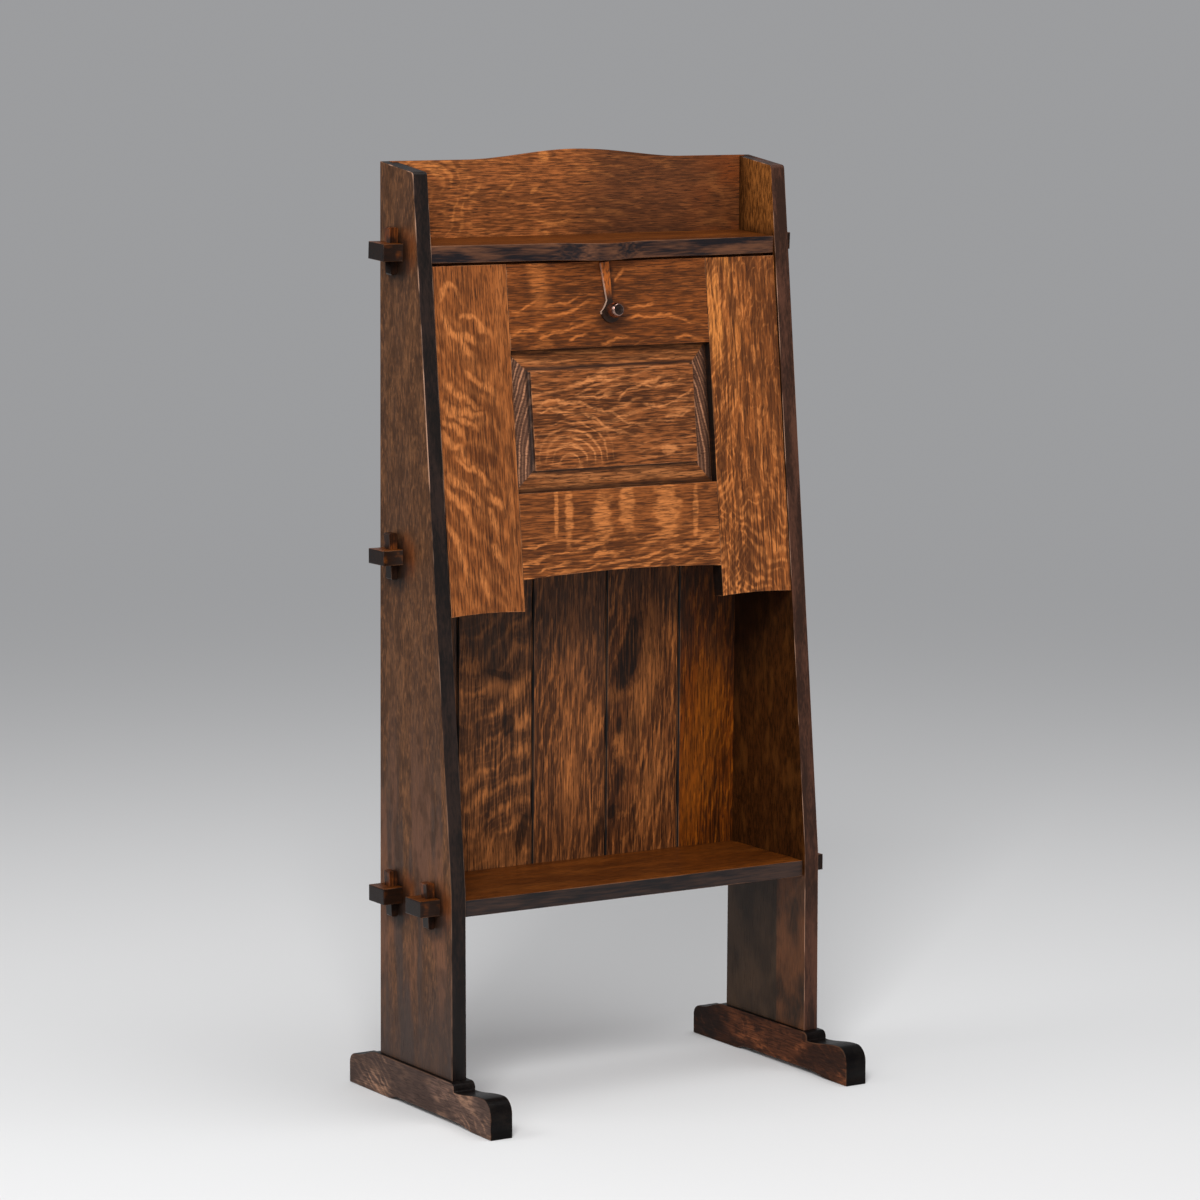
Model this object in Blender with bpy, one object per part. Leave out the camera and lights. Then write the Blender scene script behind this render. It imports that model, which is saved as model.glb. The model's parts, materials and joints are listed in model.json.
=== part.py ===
"""Drop-front oak desk: slab sides on shoe feet, keyed cross boards and a leaning fall.

Metres, +Z up. The front faces -Y, the right side is at +X, and the floor is z = 0 under the feet's centre.
"""

import math

import bmesh
import bpy

# Fits between pieces
FIT = 0.0003
DOOR_SIDE_GAP = 0.0009
DOOR_TOP_GAP = 0.0034
FALL_STOP_GAP = 0.0005

# Whole desk
OVERALL_HEIGHT = 1.168
SIDE_SPAN = 0.5363

# Slab sides
SIDE_THICKNESS = 0.0202
SIDE_DEPTH_AT_FOOT = 0.1795
SIDE_DEPTH_AT_TOP = 0.0807
SIDE_TOP_DROP = 0.0116
SIDE_TOP_RADIUS = 0.005
REAR_LEAN = math.radians(0.70)
KINK_ABOVE_LOWER_SHELF = 0.0105

# Shoe feet
FOOT_LENGTH = 0.352
FOOT_WIDTH = 0.0305
FOOT_HEIGHT = 0.051
FOOT_REACH = 0.101
HEEL_HEIGHT = 0.0385
HEEL_RADIUS = 0.0135
NOSE_LENGTH = 0.013
NOSE_RADIUS = 0.008
TOE_STEP_HEIGHT = 0.0405
TOE_HEIGHT = 0.0475
TOE_RADIUS = 0.019
FRONT_PAD_LENGTH = 0.039
REAR_PAD_LENGTH = 0.100
FRONT_RELIEF_EASE = 0.045
REAR_RELIEF_EASE = 0.022
RELIEF_HEIGHT = 0.0045
STUB_LENGTH = 0.110
STUB_THICKNESS = 0.010
STUB_DEPTH = 0.022

# Cross boards, their through tenons and keys
LOWER_SHELF_HEIGHT = 0.2502
LOWER_SHELF_THICKNESS = 0.0203
LOWER_SHELF_RECESS = 0.005
DESK_BOARD_HEIGHT = 0.6695
DESK_BOARD_THICKNESS = 0.0185
DESK_BOARD_GAP = 0.0015
UPPER_SHELF_BELOW_TOP = 0.1318
UPPER_SHELF_THICKNESS = 0.0212
UPPER_SHELF_RECESS = 0.0042
UPPER_SHELF_TILT = math.radians(3.5)
SHELF_BOW = 0.009
SHELF_LIP = 0.017
SHELF_LIP_HALF_WIDTH = 0.070
SHELF_LIP_OFFSET = -0.016
TENON_WIDTH = 0.038
TENON_PROJECTION = 0.027
TENON_REAR_INSET = 0.019
TENON_FRONT_INSET = 0.028
KEY_LENGTH = 0.058
KEY_WIDTH = 0.0135
KEY_THICK_TOP = 0.0118
KEY_THICK_BOTTOM = 0.0085
KEY_CHAMFER = 0.002
SLOT_UNDERCUT = 0.001

# Back boards and crest
BACK_THICKNESS = 0.009
BACK_MIDDLE_WIDTH = 0.1087
BACK_MIDDLE_BOARDS = 3
BACK_VEE = 0.0022
BACK_TONGUE_LENGTH = 0.005
BACK_TONGUE_THICKNESS = 0.0026
REBATE_WIDTH = 0.008
CREST_RISE = 0.0112
CREST_HALF_WIDTH = 0.160
CREST_OFFSET = 0.008
CREST_NAIL_SPACING = 0.160
NAIL_LENGTH = 0.026
NAIL_RADIUS = 0.0011
NAIL_TIP_RADIUS = 0.0004
NAIL_TIP_LENGTH = 0.003
NAIL_HEAD_RADIUS = 0.0030
NAIL_HEAD_THICKNESS = 0.0008

# Fall front
FALL_BELOW_DESK_BOARD = 0.057
FALL_THICKNESS = 0.020
FALL_RECESS_TOP = 0.003
FALL_RECESS_BOTTOM = 0.0003
STILE_WIDTH = 0.103
STILE_DROP = 0.0385
STILE_END_HOLLOW = 0.002
TOP_RAIL_WIDTH = 0.105
BOTTOM_RAIL_WIDTH = 0.105
RAIL_ARCH = 0.0047
RAIL_TENON_LENGTH = 0.030
RAIL_TENON_THICKNESS = 0.007
RAIL_TENON_MARGIN = 0.022
PANEL_BEVEL_WIDTH = 0.0265
PANEL_FIELD_SETBACK = 0.0003
PANEL_STEP = 0.0068
PANEL_BEVEL_DROP = 0.005
PANEL_TONGUE_LENGTH = 0.007
PANEL_BACK_LIP = 0.0019
PANEL_GAP = 0.0004
PIN_RADIUS = 0.004
PIN_IN_SIDE = 0.010
PIN_IN_STILE = 0.022
DOOR_STOP_DEPTH = 0.014
DOOR_STOP_HEIGHT = 0.016

# Turn latch
LATCH_BELOW_TOP = 0.061
LATCH_TIP_CLEARANCE = 0.001
LATCH_TILT = math.radians(5.0)
LATCH_PLATE_THICKNESS = 0.0035
LATCH_TIP_WIDTH = 0.0127
LATCH_WAIST_WIDTH = 0.0072
LATCH_WAIST_HEIGHT = 0.0128
LATCH_PLATE_WIDTH = 0.0275
LATCH_PLATE_DROP = 0.015
LATCH_FLARE_HEIGHT = 0.0005
LATCH_FLARE_HOLLOW = 0.6
SPINDLE_RADIUS = 0.004
KNOB_RADIUS = 0.0101
KNOB_BASE_RADIUS = 0.0072
KNOB_FACE_RADIUS = 0.007
KNOB_DISH_RADIUS = 0.0055
KNOB_LENGTH = 0.0182
KNOB_DISH = 0.0012
KNOB_HOLE_DEPTH = 0.009
NUT_RADIUS = 0.0085
NUT_THICKNESS = 0.005

ROUND_STEPS = 32
NAIL_STEPS = 12
CURVE_STEPS = 8
BOW_STEPS = 40
SMOOTH_ANGLE = math.radians(35)
SIDES = {"left": -1, "right": 1}

# Places worked out from the sizes above
FOOT_FRONT = -FOOT_LENGTH / 2
FOOT_REAR = FOOT_LENGTH / 2
OUTER_HALF = SIDE_SPAN / 2
INNER_HALF = OUTER_HALF - SIDE_THICKNESS
SIDE_FRONT = FOOT_FRONT + FOOT_REACH
SIDE_REAR = SIDE_FRONT + SIDE_DEPTH_AT_FOOT
SIDE_BOTTOM = FOOT_HEIGHT + FIT
CREST_BASE = OVERALL_HEIGHT - CREST_RISE
UPPER_SHELF_HEIGHT = OVERALL_HEIGHT - UPPER_SHELF_BELOW_TOP
KINK_HEIGHT = LOWER_SHELF_HEIGHT + LOWER_SHELF_THICKNESS + KINK_ABOVE_LOWER_SHELF


def side_rear(height):
    """Y of the sides' rear edges, which lean forward as they rise."""
    return SIDE_REAR - math.tan(REAR_LEAN) * (height - SIDE_BOTTOM)


def back_front(height):
    """Y of the back boards' front face, let in flush with the sides' rear edges."""
    return side_rear(height) - BACK_THICKNESS


TOP_FRONT_HEIGHT = CREST_BASE - SIDE_TOP_DROP
TOP_FRONT = side_rear(CREST_BASE) - SIDE_DEPTH_AT_TOP


def side_front(height):
    """Y of the sides' front edges: upright below the kink, leaning back above it."""
    rise = max(0.0, height - KINK_HEIGHT) / (TOP_FRONT_HEIGHT - KINK_HEIGHT)
    return SIDE_FRONT + (TOP_FRONT - SIDE_FRONT) * rise


FALL_BOTTOM_HEIGHT = DESK_BOARD_HEIGHT - FALL_BELOW_DESK_BOARD
FALL_BOTTOM_FRONT = side_front(FALL_BOTTOM_HEIGHT) + FALL_RECESS_BOTTOM
FALL_TOP_FRONT = side_front(UPPER_SHELF_HEIGHT) + FALL_RECESS_TOP
FALL_LEAN = math.atan2(FALL_TOP_FRONT - FALL_BOTTOM_FRONT, UPPER_SHELF_HEIGHT - FALL_BOTTOM_HEIGHT)
SHELF_FRONT = side_front(UPPER_SHELF_HEIGHT) + UPPER_SHELF_RECESS

# The fall's length runs up its front face to the gap under the tilted shelf
FALL_LENGTH = (
    UPPER_SHELF_HEIGHT - DOOR_TOP_GAP - FALL_BOTTOM_HEIGHT
    + (FALL_BOTTOM_FRONT - SHELF_FRONT) * math.tan(UPPER_SHELF_TILT)
) / (math.cos(FALL_LEAN) - math.sin(FALL_LEAN) * math.tan(UPPER_SHELF_TILT))

# The pivot sits where the opened fall's inner face comes to rest under the desk board
PIVOT_UP_STILE = (
    DESK_BOARD_HEIGHT - FALL_STOP_GAP - FALL_THICKNESS / 2 - FALL_BOTTOM_HEIGHT
    + FALL_THICKNESS / 2 * math.sin(FALL_LEAN)
) / math.cos(FALL_LEAN)
PIVOT_Y = (
    FALL_BOTTOM_FRONT + PIVOT_UP_STILE * math.sin(FALL_LEAN) + FALL_THICKNESS / 2 * math.cos(FALL_LEAN)
)
PIVOT_Z = (
    FALL_BOTTOM_HEIGHT + PIVOT_UP_STILE * math.cos(FALL_LEAN) - FALL_THICKNESS / 2 * math.sin(FALL_LEAN)
)


def fall_inner(height):
    """Y of the closed fall's inner face."""
    rise = height - PIVOT_Z
    return PIVOT_Y + rise * math.tan(FALL_LEAN) + FALL_THICKNESS / 2 / math.cos(FALL_LEAN)


def finish(name, colour, roughness, metallic=0.0):
    """Principled material in one plain colour."""
    material = bpy.data.materials.new(name)
    material.use_nodes = True
    shader = material.node_tree.nodes["Principled BSDF"]
    shader.inputs["Base Color"].default_value = (*colour, 1.0)
    shader.inputs["Roughness"].default_value = roughness
    shader.inputs["Metallic"].default_value = metallic
    material.diffuse_color = (*colour, 1.0)
    return material


def add_piece(name, shape, material):
    """Turn a bmesh into a named object with outward faces."""
    bmesh.ops.recalc_face_normals(shape, faces=shape.faces)
    mesh = bpy.data.meshes.new(name)
    shape.to_mesh(mesh)
    shape.free()
    if material:
        mesh.materials.append(material)
    piece = bpy.data.objects.new(name, mesh)
    bpy.context.scene.collection.objects.link(piece)
    return piece


def extruded(name, outline, reach, material=None):
    """Solid swept from a flat outline of 3-D points along a vector."""
    shape = bmesh.new()
    near = [shape.verts.new(point) for point in outline]
    far = [shape.verts.new([a + b for a, b in zip(point, reach)]) for point in outline]
    shape.faces.new(near)
    shape.faces.new(far)
    for index in range(len(outline)):
        following = (index + 1) % len(outline)
        shape.faces.new((near[index], near[following], far[following], far[index]))
    return add_piece(name, shape, material)


def block(name, low, high, material=None):
    """Box between two corners."""
    plan = ((low[0], low[1]), (high[0], low[1]), (high[0], high[1]), (low[0], high[1]))
    outline = [(x, y, low[2]) for x, y in plan]
    return extruded(name, outline, (0.0, 0.0, high[2] - low[2]), material)


def lofted(name, rings, material, closed=False):
    """Solid skinned over rings of equal count, capped at both ends or joined end to end."""
    shape = bmesh.new()
    loops = [[shape.verts.new(point) for point in ring] for ring in rings]
    pairs = list(zip(loops, loops[1:]))
    if closed:
        pairs.append((loops[-1], loops[0]))
    else:
        shape.faces.new(loops[0])
        shape.faces.new(loops[-1])
    for lower, upper in pairs:
        for index in range(len(lower)):
            following = (index + 1) % len(lower)
            shape.faces.new((lower[index], lower[following], upper[following], upper[index]))
    return add_piece(name, shape, material)


def turned(name, profile, material=None, closed=False, steps=ROUND_STEPS):
    """Solid of revolution about local Y; the profile gives radius and distance out along -Y."""
    angles = [math.tau * step / steps for step in range(steps)]
    rings = []
    for radius, out in profile:
        rings.append([(radius * math.cos(a), -out, radius * math.sin(a)) for a in angles])
    piece = lofted(name, rings, material, closed)
    piece.data.shade_smooth()
    piece.data.set_sharp_from_angle(angle=SMOOTH_ANGLE)
    return piece


def rod_along_x(name, radius, x_start, x_end, material=None):
    """Round rod along X through the local origin."""
    angles = [math.tau * step / ROUND_STEPS for step in range(ROUND_STEPS)]
    rings = [[(x, radius * math.cos(a), radius * math.sin(a)) for a in angles] for x in (x_start, x_end)]
    return lofted(name, rings, material)


def place(piece, location, tilt=0.0, parent=None):
    """Locate a piece, turned about X, in the world or under a parent."""
    piece.location = location
    piece.rotation_euler = (tilt, 0.0, 0.0)
    piece.parent = parent
    return piece


def combine(piece, tool, operation):
    """Boolean with a hidden tool object."""
    tool.hide_render = True
    tool.display_type = "WIRE"
    modifier = piece.modifiers.new(tool.name, "BOOLEAN")
    modifier.operation = operation
    modifier.object = tool


def arc(centre, radius, start, end, steps=CURVE_STEPS):
    """Points of a circular arc in a plane, angles in degrees."""
    angles = [math.radians(start + (end - start) * step / steps) for step in range(steps + 1)]
    return [(centre[0] + radius * math.cos(a), centre[1] + radius * math.sin(a)) for a in angles]


def ease(start, end, steps=CURVE_STEPS):
    """Points of a smooth S-shaped step between two points, ends included."""
    points = []
    for step in range(steps + 1):
        share = step / steps
        blend = (1 - math.cos(math.pi * share)) / 2
        points.append((start[0] + (end[0] - start[0]) * share, start[1] + (end[1] - start[1]) * blend))
    return points


def rounded(before, corner, after, radius, steps=CURVE_STEPS):
    """Points that round the corner between two straight edges."""
    to_before = math.atan2(before[1] - corner[1], before[0] - corner[0])
    to_after = math.atan2(after[1] - corner[1], after[0] - corner[0])
    opening = (to_after - to_before + math.pi) % math.tau - math.pi
    middle = to_before + opening / 2
    reach = radius / math.sin(abs(opening) / 2)
    centre = (corner[0] + reach * math.cos(middle), corner[1] + reach * math.sin(middle))
    turn = math.copysign(math.pi - abs(opening), -opening)
    first = middle + math.pi - turn / 2
    return arc(centre, radius, math.degrees(first), math.degrees(first + turn), steps)


def raised_cosine(distance, half_width):
    """Smooth bump: one at the middle, nought at the half width and beyond."""
    if abs(distance) >= half_width:
        return 0.0
    return (1 + math.cos(math.pi * distance / half_width)) / 2


for leftover in list(bpy.data.objects):
    bpy.data.objects.remove(leftover, do_unlink=True)

oak_side = finish("oak_side", (0.130, 0.062, 0.030), 0.42)
oak_foot = finish("oak_foot", (0.085, 0.038, 0.019), 0.42)
oak_shelf = finish("oak_shelf", (0.140, 0.060, 0.022), 0.36)
oak_key = finish("oak_key", (0.070, 0.034, 0.018), 0.45)
oak_back = finish("oak_back", (0.110, 0.048, 0.020), 0.48)
oak_crest = finish("oak_crest", (0.240, 0.105, 0.042), 0.40)
oak_fall = finish("oak_fall", (0.330, 0.150, 0.062), 0.36)
oak_panel = finish("oak_panel", (0.300, 0.130, 0.052), 0.34)
dark_iron = finish("dark_iron", (0.060, 0.040, 0.030), 0.45, 0.85)
dark_bronze = finish("dark_bronze", (0.075, 0.038, 0.022), 0.28, 0.85)
steel = finish("steel", (0.380, 0.370, 0.360), 0.35, 1.0)


# Shoe feet: heel, flat seat for the slab, rounded nose, swept toe and a relieved underside
nose_front = SIDE_FRONT - NOSE_LENGTH
heel_top = (FOOT_REAR - HEEL_RADIUS, HEEL_HEIGHT)
foot_outline = [(FOOT_REAR, 0.0)]
foot_outline += arc((FOOT_REAR - HEEL_RADIUS, HEEL_HEIGHT - HEEL_RADIUS), HEEL_RADIUS, 0, 90)
foot_outline += ease(heel_top, (SIDE_REAR, FOOT_HEIGHT))[1:]
foot_outline += arc((nose_front + NOSE_RADIUS, FOOT_HEIGHT - NOSE_RADIUS), NOSE_RADIUS, 90, 180)
foot_outline += ease((nose_front, TOE_STEP_HEIGHT), (FOOT_FRONT + TOE_RADIUS, TOE_HEIGHT))
foot_outline += arc((FOOT_FRONT + TOE_RADIUS, TOE_HEIGHT - TOE_RADIUS), TOE_RADIUS, 90, 180)[1:]
foot_outline += [(FOOT_FRONT, 0.0)]
front_pad_end = FOOT_FRONT + FRONT_PAD_LENGTH
rear_pad_end = FOOT_REAR - REAR_PAD_LENGTH
foot_outline += ease((front_pad_end, 0.0), (front_pad_end + FRONT_RELIEF_EASE, RELIEF_HEIGHT))
foot_outline += ease((rear_pad_end - REAR_RELIEF_EASE, RELIEF_HEIGHT), (rear_pad_end, 0.0))

stub_front = (SIDE_FRONT + SIDE_REAR - STUB_LENGTH) / 2
stub_rear = stub_front + STUB_LENGTH
stub_bottom = FOOT_HEIGHT - STUB_DEPTH


def make_foot(side_name, side):
    middle = side * (OUTER_HALF - SIDE_THICKNESS / 2)
    outline = [(middle - FOOT_WIDTH / 2, y, z) for y, z in foot_outline]
    foot = extruded(f"{side_name}_foot", outline, (FOOT_WIDTH, 0.0, 0.0), oak_foot)
    half = STUB_THICKNESS / 2 + FIT
    low = (middle - half, stub_front - FIT, stub_bottom - FIT)
    mortise = block(f"{side_name}_foot_mortise", low, (middle + half, stub_rear + FIT, FOOT_HEIGHT + FIT))
    combine(foot, mortise, "DIFFERENCE")


# Slab sides: upright rear part, leaning front edge, top cut across and its front corner rounded
side_top_front = (TOP_FRONT, TOP_FRONT_HEIGHT)
side_top_rear = (side_rear(CREST_BASE), CREST_BASE)
side_kink = (SIDE_FRONT, KINK_HEIGHT)
side_outline = [(SIDE_REAR, SIDE_BOTTOM), (SIDE_FRONT, SIDE_BOTTOM), side_kink]
side_outline += rounded(side_kink, side_top_front, side_top_rear, SIDE_TOP_RADIUS)
side_outline += [side_top_rear]


class CrossBoard:
    """A cross board's own frame: x across, v back from its front edge, w up from its underside."""

    def __init__(self, name, front, height, thickness, tilt=0.0, front_tenon=None, bowed=False):
        self.name = name
        self.front = front
        self.height = height
        self.thickness = thickness
        self.tilt = tilt
        self.bowed = bowed
        middle = self.rear_edge(thickness / 2)
        rear_end = middle + BACK_THICKNESS + FIT - TENON_REAR_INSET
        self.tenons = {"rear": (rear_end - TENON_WIDTH, rear_end)}
        if front_tenon is not None:
            self.tenons["front"] = (front_tenon, front_tenon + TENON_WIDTH)

    def rear_edge(self, up):
        """Depth at which the board meets the back boards' front face, less the fit."""
        slope = math.tan(REAR_LEAN)
        plane = back_front(0.0) - FIT - slope * (self.height + up * math.cos(self.tilt))
        reach = plane - self.front + up * math.sin(self.tilt)
        return reach / (math.cos(self.tilt) + slope * math.sin(self.tilt))

    def place(self, piece):
        return place(piece, (0.0, self.front, self.height), self.tilt)

    def front_points(self, shoulder):
        if not self.bowed:
            return [(-shoulder, 0.0), (shoulder, 0.0)]
        points = []
        for step in range(BOW_STEPS + 1):
            x = shoulder * (2 * step / BOW_STEPS - 1)
            lip = raised_cosine(x - SHELF_LIP_OFFSET, SHELF_LIP_HALF_WIDTH)
            points.append((x, -SHELF_BOW * (1 - (x / shoulder) ** 2) - SHELF_LIP * lip))
        return points

    def outline(self, up):
        """Plan outline with its tenons, at one height in the board."""
        shoulder = INNER_HALF - FIT
        tip = OUTER_HALF + TENON_PROJECTION
        right = []
        for start, end in sorted(self.tenons.values()):
            right += [(shoulder, start), (tip, start), (tip, end), (shoulder, end)]
        right.append((shoulder, self.rear_edge(up)))
        left = [(-x, v) for x, v in reversed(right)]
        return [(x, v, up) for x, v in self.front_points(shoulder) + right + left]

    def build(self, material):
        board = self.place(lofted(self.name, [self.outline(0.0), self.outline(self.thickness)], material))
        self.solid = board
        for side_name, side in SIDES.items():
            for tenon_name, span in self.tenons.items():
                slot = self.key_prism(f"{self.name}_{side_name}_{tenon_name}_slot", side, span, slot=True)
                combine(board, slot, "DIFFERENCE")
                key_name = f"{side_name}_{self.name}_{tenon_name}_key"
                self.key_prism(key_name, side, span, material=oak_key)

    def key_prism(self, name, side, span, material=None, slot=False):
        """Tapered key beside the side's outer face, or the slot that it goes through."""
        loose = FIT if slot else 0.0
        low = (self.thickness - KEY_LENGTH) / 2
        high = (self.thickness + KEY_LENGTH) / 2
        inner = OUTER_HALF - SLOT_UNDERCUT if slot else OUTER_HALF + FIT
        outer_low = OUTER_HALF + FIT + KEY_THICK_BOTTOM + loose
        outer_high = OUTER_HALF + FIT + KEY_THICK_TOP + loose
        nip = 0.0 if slot else KEY_CHAMFER
        profile = [(inner + nip, low), (outer_low - nip, low)]
        if not slot:
            profile.append((outer_low, low + nip))
            profile.append((outer_high, high - nip))
        profile += [(outer_high - nip, high), (inner + nip, high)]
        if not slot:
            profile += [(inner, high - nip), (inner, low + nip)]
        near = (span[0] + span[1] - KEY_WIDTH) / 2 - loose
        outline = [(side * x, near, w) for x, w in profile]
        return self.place(extruded(name, outline, (0.0, KEY_WIDTH + 2 * loose, 0.0), material))

    def mortise(self, name, side, span):
        """Cutter for the through mortise in a side."""
        inner = INNER_HALF - SIDE_THICKNESS / 2
        outer = OUTER_HALF + SIDE_THICKNESS / 2
        low_x, high_x = sorted((side * inner, side * outer))
        low = (low_x, span[0] - FIT, -FIT)
        return self.place(block(name, low, (high_x, span[1] + FIT, self.thickness + FIT)))


lower_front = SIDE_FRONT + LOWER_SHELF_RECESS
lower_shelf = CrossBoard(
    "lower_shelf", lower_front, LOWER_SHELF_HEIGHT, LOWER_SHELF_THICKNESS,
    front_tenon=TENON_FRONT_INSET - LOWER_SHELF_RECESS,
)
desk_front = fall_inner(DESK_BOARD_HEIGHT + DESK_BOARD_THICKNESS) + DESK_BOARD_GAP
desk_board = CrossBoard("desk_board", desk_front, DESK_BOARD_HEIGHT, DESK_BOARD_THICKNESS)
upper_shelf = CrossBoard(
    "upper_shelf", SHELF_FRONT, UPPER_SHELF_HEIGHT, UPPER_SHELF_THICKNESS, UPPER_SHELF_TILT, bowed=True,
)
for board in (lower_shelf, desk_board, upper_shelf):
    board.build(oak_shelf)


def shelf_point(depth, up):
    """World Y and Z of a point in the tilted upper shelf."""
    sine, cosine = math.sin(UPPER_SHELF_TILT), math.cos(UPPER_SHELF_TILT)
    return SHELF_FRONT + depth * cosine - up * sine, UPPER_SHELF_HEIGHT + depth * sine + up * cosine


# The back boards stop halfway up the upper shelf's rear edge, where the crest begins
shelf_rear_middle = upper_shelf.rear_edge(UPPER_SHELF_THICKNESS / 2)
BACK_TOP = shelf_point(shelf_rear_middle, UPPER_SHELF_THICKNESS / 2)[1]


def make_side(side_name, side):
    outline = [(side * OUTER_HALF, y, z) for y, z in side_outline]
    slab = extruded(f"{side_name}_side", outline, (-side * SIDE_THICKNESS, 0.0, 0.0), oak_side)
    middle = side * (OUTER_HALF - SIDE_THICKNESS / 2)
    low = (middle - STUB_THICKNESS / 2, stub_front, stub_bottom)
    high = (middle + STUB_THICKNESS / 2, stub_rear, SIDE_BOTTOM + STUB_DEPTH)
    combine(slab, block(f"{side_name}_side_stub", low, high), "UNION")
    for board in (lower_shelf, desk_board, upper_shelf):
        for tenon_name, span in board.tenons.items():
            mortise = board.mortise(f"{side_name}_side_{board.name}_{tenon_name}_mortise", side, span)
            combine(slab, mortise, "DIFFERENCE")
    bottom = LOWER_SHELF_HEIGHT - FIT
    top = CREST_BASE + SIDE_THICKNESS
    rebate_outline = [
        (back_front(bottom) - FIT, bottom), (back_front(top) - FIT, top),
        (SIDE_REAR + BACK_THICKNESS, top), (SIDE_REAR + BACK_THICKNESS, bottom),
    ]
    rebate_start = side * (INNER_HALF - REBATE_WIDTH)
    rebate = extruded(
        f"{side_name}_side_rebate", [(rebate_start, y, z) for y, z in rebate_outline],
        (side * 2 * REBATE_WIDTH, 0.0, 0.0),
    )
    combine(slab, rebate, "DIFFERENCE")
    hole = rod_along_x(
        f"{side_name}_side_pin_hole", PIN_RADIUS + FIT,
        side * (INNER_HALF - PIN_IN_SIDE), side * (INNER_HALF + PIN_IN_SIDE + FIT),
    )
    combine(slab, place(hole, (0.0, PIVOT_Y, PIVOT_Z)), "DIFFERENCE")


for name, sign in SIDES.items():
    make_foot(name, sign)
    make_side(name, sign)


# Back boards: upright, tongued and grooved, with a vee at each joint
def back_profile(x_start, x_end, grooved, tongued):
    """Plan outline of one back board as x and depth behind the front face."""
    tongue_front = (BACK_THICKNESS - BACK_TONGUE_THICKNESS) / 2 + BACK_VEE / 2
    tongue_rear = tongue_front + BACK_TONGUE_THICKNESS
    profile = [(x_start + BACK_VEE, 0.0), (x_end - BACK_VEE, 0.0), (x_end, BACK_VEE)]
    if tongued:
        tip = x_end + BACK_TONGUE_LENGTH
        profile += [(x_end, tongue_front), (tip, tongue_front), (tip, tongue_rear), (x_end, tongue_rear)]
    profile += [(x_end, BACK_THICKNESS), (x_start, BACK_THICKNESS)]
    if grooved:
        floor = x_start + BACK_TONGUE_LENGTH
        profile += [
            (x_start, tongue_rear + FIT), (floor, tongue_rear + FIT),
            (floor, tongue_front - FIT), (x_start, tongue_front - FIT),
        ]
    return profile + [(x_start, BACK_VEE)]


back_edge = INNER_HALF + REBATE_WIDTH - FIT
middle_edges = [BACK_MIDDLE_WIDTH * (n - BACK_MIDDLE_BOARDS / 2) for n in range(BACK_MIDDLE_BOARDS + 1)]
joints = [-back_edge] + middle_edges + [back_edge]
back_bottom = LOWER_SHELF_HEIGHT
back_rise = BACK_TOP - back_bottom
back_boards = []
for number, (x_start, x_end) in enumerate(zip(joints, joints[1:]), start=1):
    last = number == len(joints) - 1
    end = x_end if last else x_end - FIT
    profile = back_profile(x_start, end, grooved=number > 1, tongued=not last)
    outline = [(x, back_front(back_bottom) + depth, back_bottom) for x, depth in profile]
    reach = (0.0, -math.tan(REAR_LEAN) * back_rise, back_rise)
    back_boards.append(extruded(f"back_board_{number}", outline, reach, oak_back))


# Crest: horizontal board above the back boards, with a low ogee arch along its top
crest_outline = [(-back_edge, BACK_TOP + FIT), (back_edge, BACK_TOP + FIT), (back_edge, CREST_BASE)]
for step in range(BOW_STEPS + 1):
    x = CREST_OFFSET + CREST_HALF_WIDTH * (1 - 2 * step / BOW_STEPS)
    crest_outline.append((x, CREST_BASE + CREST_RISE * raised_cosine(x - CREST_OFFSET, CREST_HALF_WIDTH)))
crest_outline.append((-back_edge, CREST_BASE))
crest_board = extruded(
    "crest_board", [(x, back_front(z), z) for x, z in crest_outline], (0.0, BACK_THICKNESS, 0.0), oak_crest
)


# Nails: through the back boards and the crest into the rear edges of the cross boards
nail_profile = [
    (NAIL_TIP_RADIUS, NAIL_LENGTH), (NAIL_RADIUS, NAIL_LENGTH - NAIL_TIP_LENGTH),
    (NAIL_RADIUS, -FIT), (NAIL_HEAD_RADIUS, -FIT), (NAIL_HEAD_RADIUS, -FIT - NAIL_HEAD_THICKNESS),
]
nail_bore = [(NAIL_RADIUS + FIT, NAIL_LENGTH + FIT), (NAIL_RADIUS + FIT, -BACK_THICKNESS)]


def make_nail(name, x, height, outer, inner):
    """Nail through an outer board into an inner one, with its hole in both."""
    location = (x, side_rear(height), height)
    place(turned(name, nail_profile, steel, steps=NAIL_STEPS), location)
    bore = place(turned(f"{name}_bore", nail_bore, steps=NAIL_STEPS), location)
    combine(outer, bore, "DIFFERENCE")
    combine(inner.solid, bore, "DIFFERENCE")


shown_joints = [-INNER_HALF] + middle_edges + [INNER_HALF]
nail_heights = {
    lower_shelf: LOWER_SHELF_HEIGHT + LOWER_SHELF_THICKNESS / 2,
    desk_board: DESK_BOARD_HEIGHT + DESK_BOARD_THICKNESS / 2,
    upper_shelf: BACK_TOP - UPPER_SHELF_THICKNESS / 4,
}
for number, back_board in enumerate(back_boards, start=1):
    board_middle = (shown_joints[number - 1] + shown_joints[number]) / 2
    for cross_board, height in nail_heights.items():
        nail_name = f"{cross_board.name}_nail_{number}"
        make_nail(nail_name, board_middle, height, back_board, cross_board)
crest_nail_height = BACK_TOP + UPPER_SHELF_THICKNESS / 4
for number, step in enumerate((-1, 0, 1), start=1):
    x = step * CREST_NAIL_SPACING
    make_nail(f"crest_nail_{number}", x, crest_nail_height, crest_board, upper_shelf)


# Fall front, in a frame whose origin is the pivot: x across, y back through it, z up its length
fall_frame = bpy.data.objects.new("fall_pivot", None)
bpy.context.scene.collection.objects.link(fall_frame)
place(fall_frame, (0.0, PIVOT_Y, PIVOT_Z), -FALL_LEAN)

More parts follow.
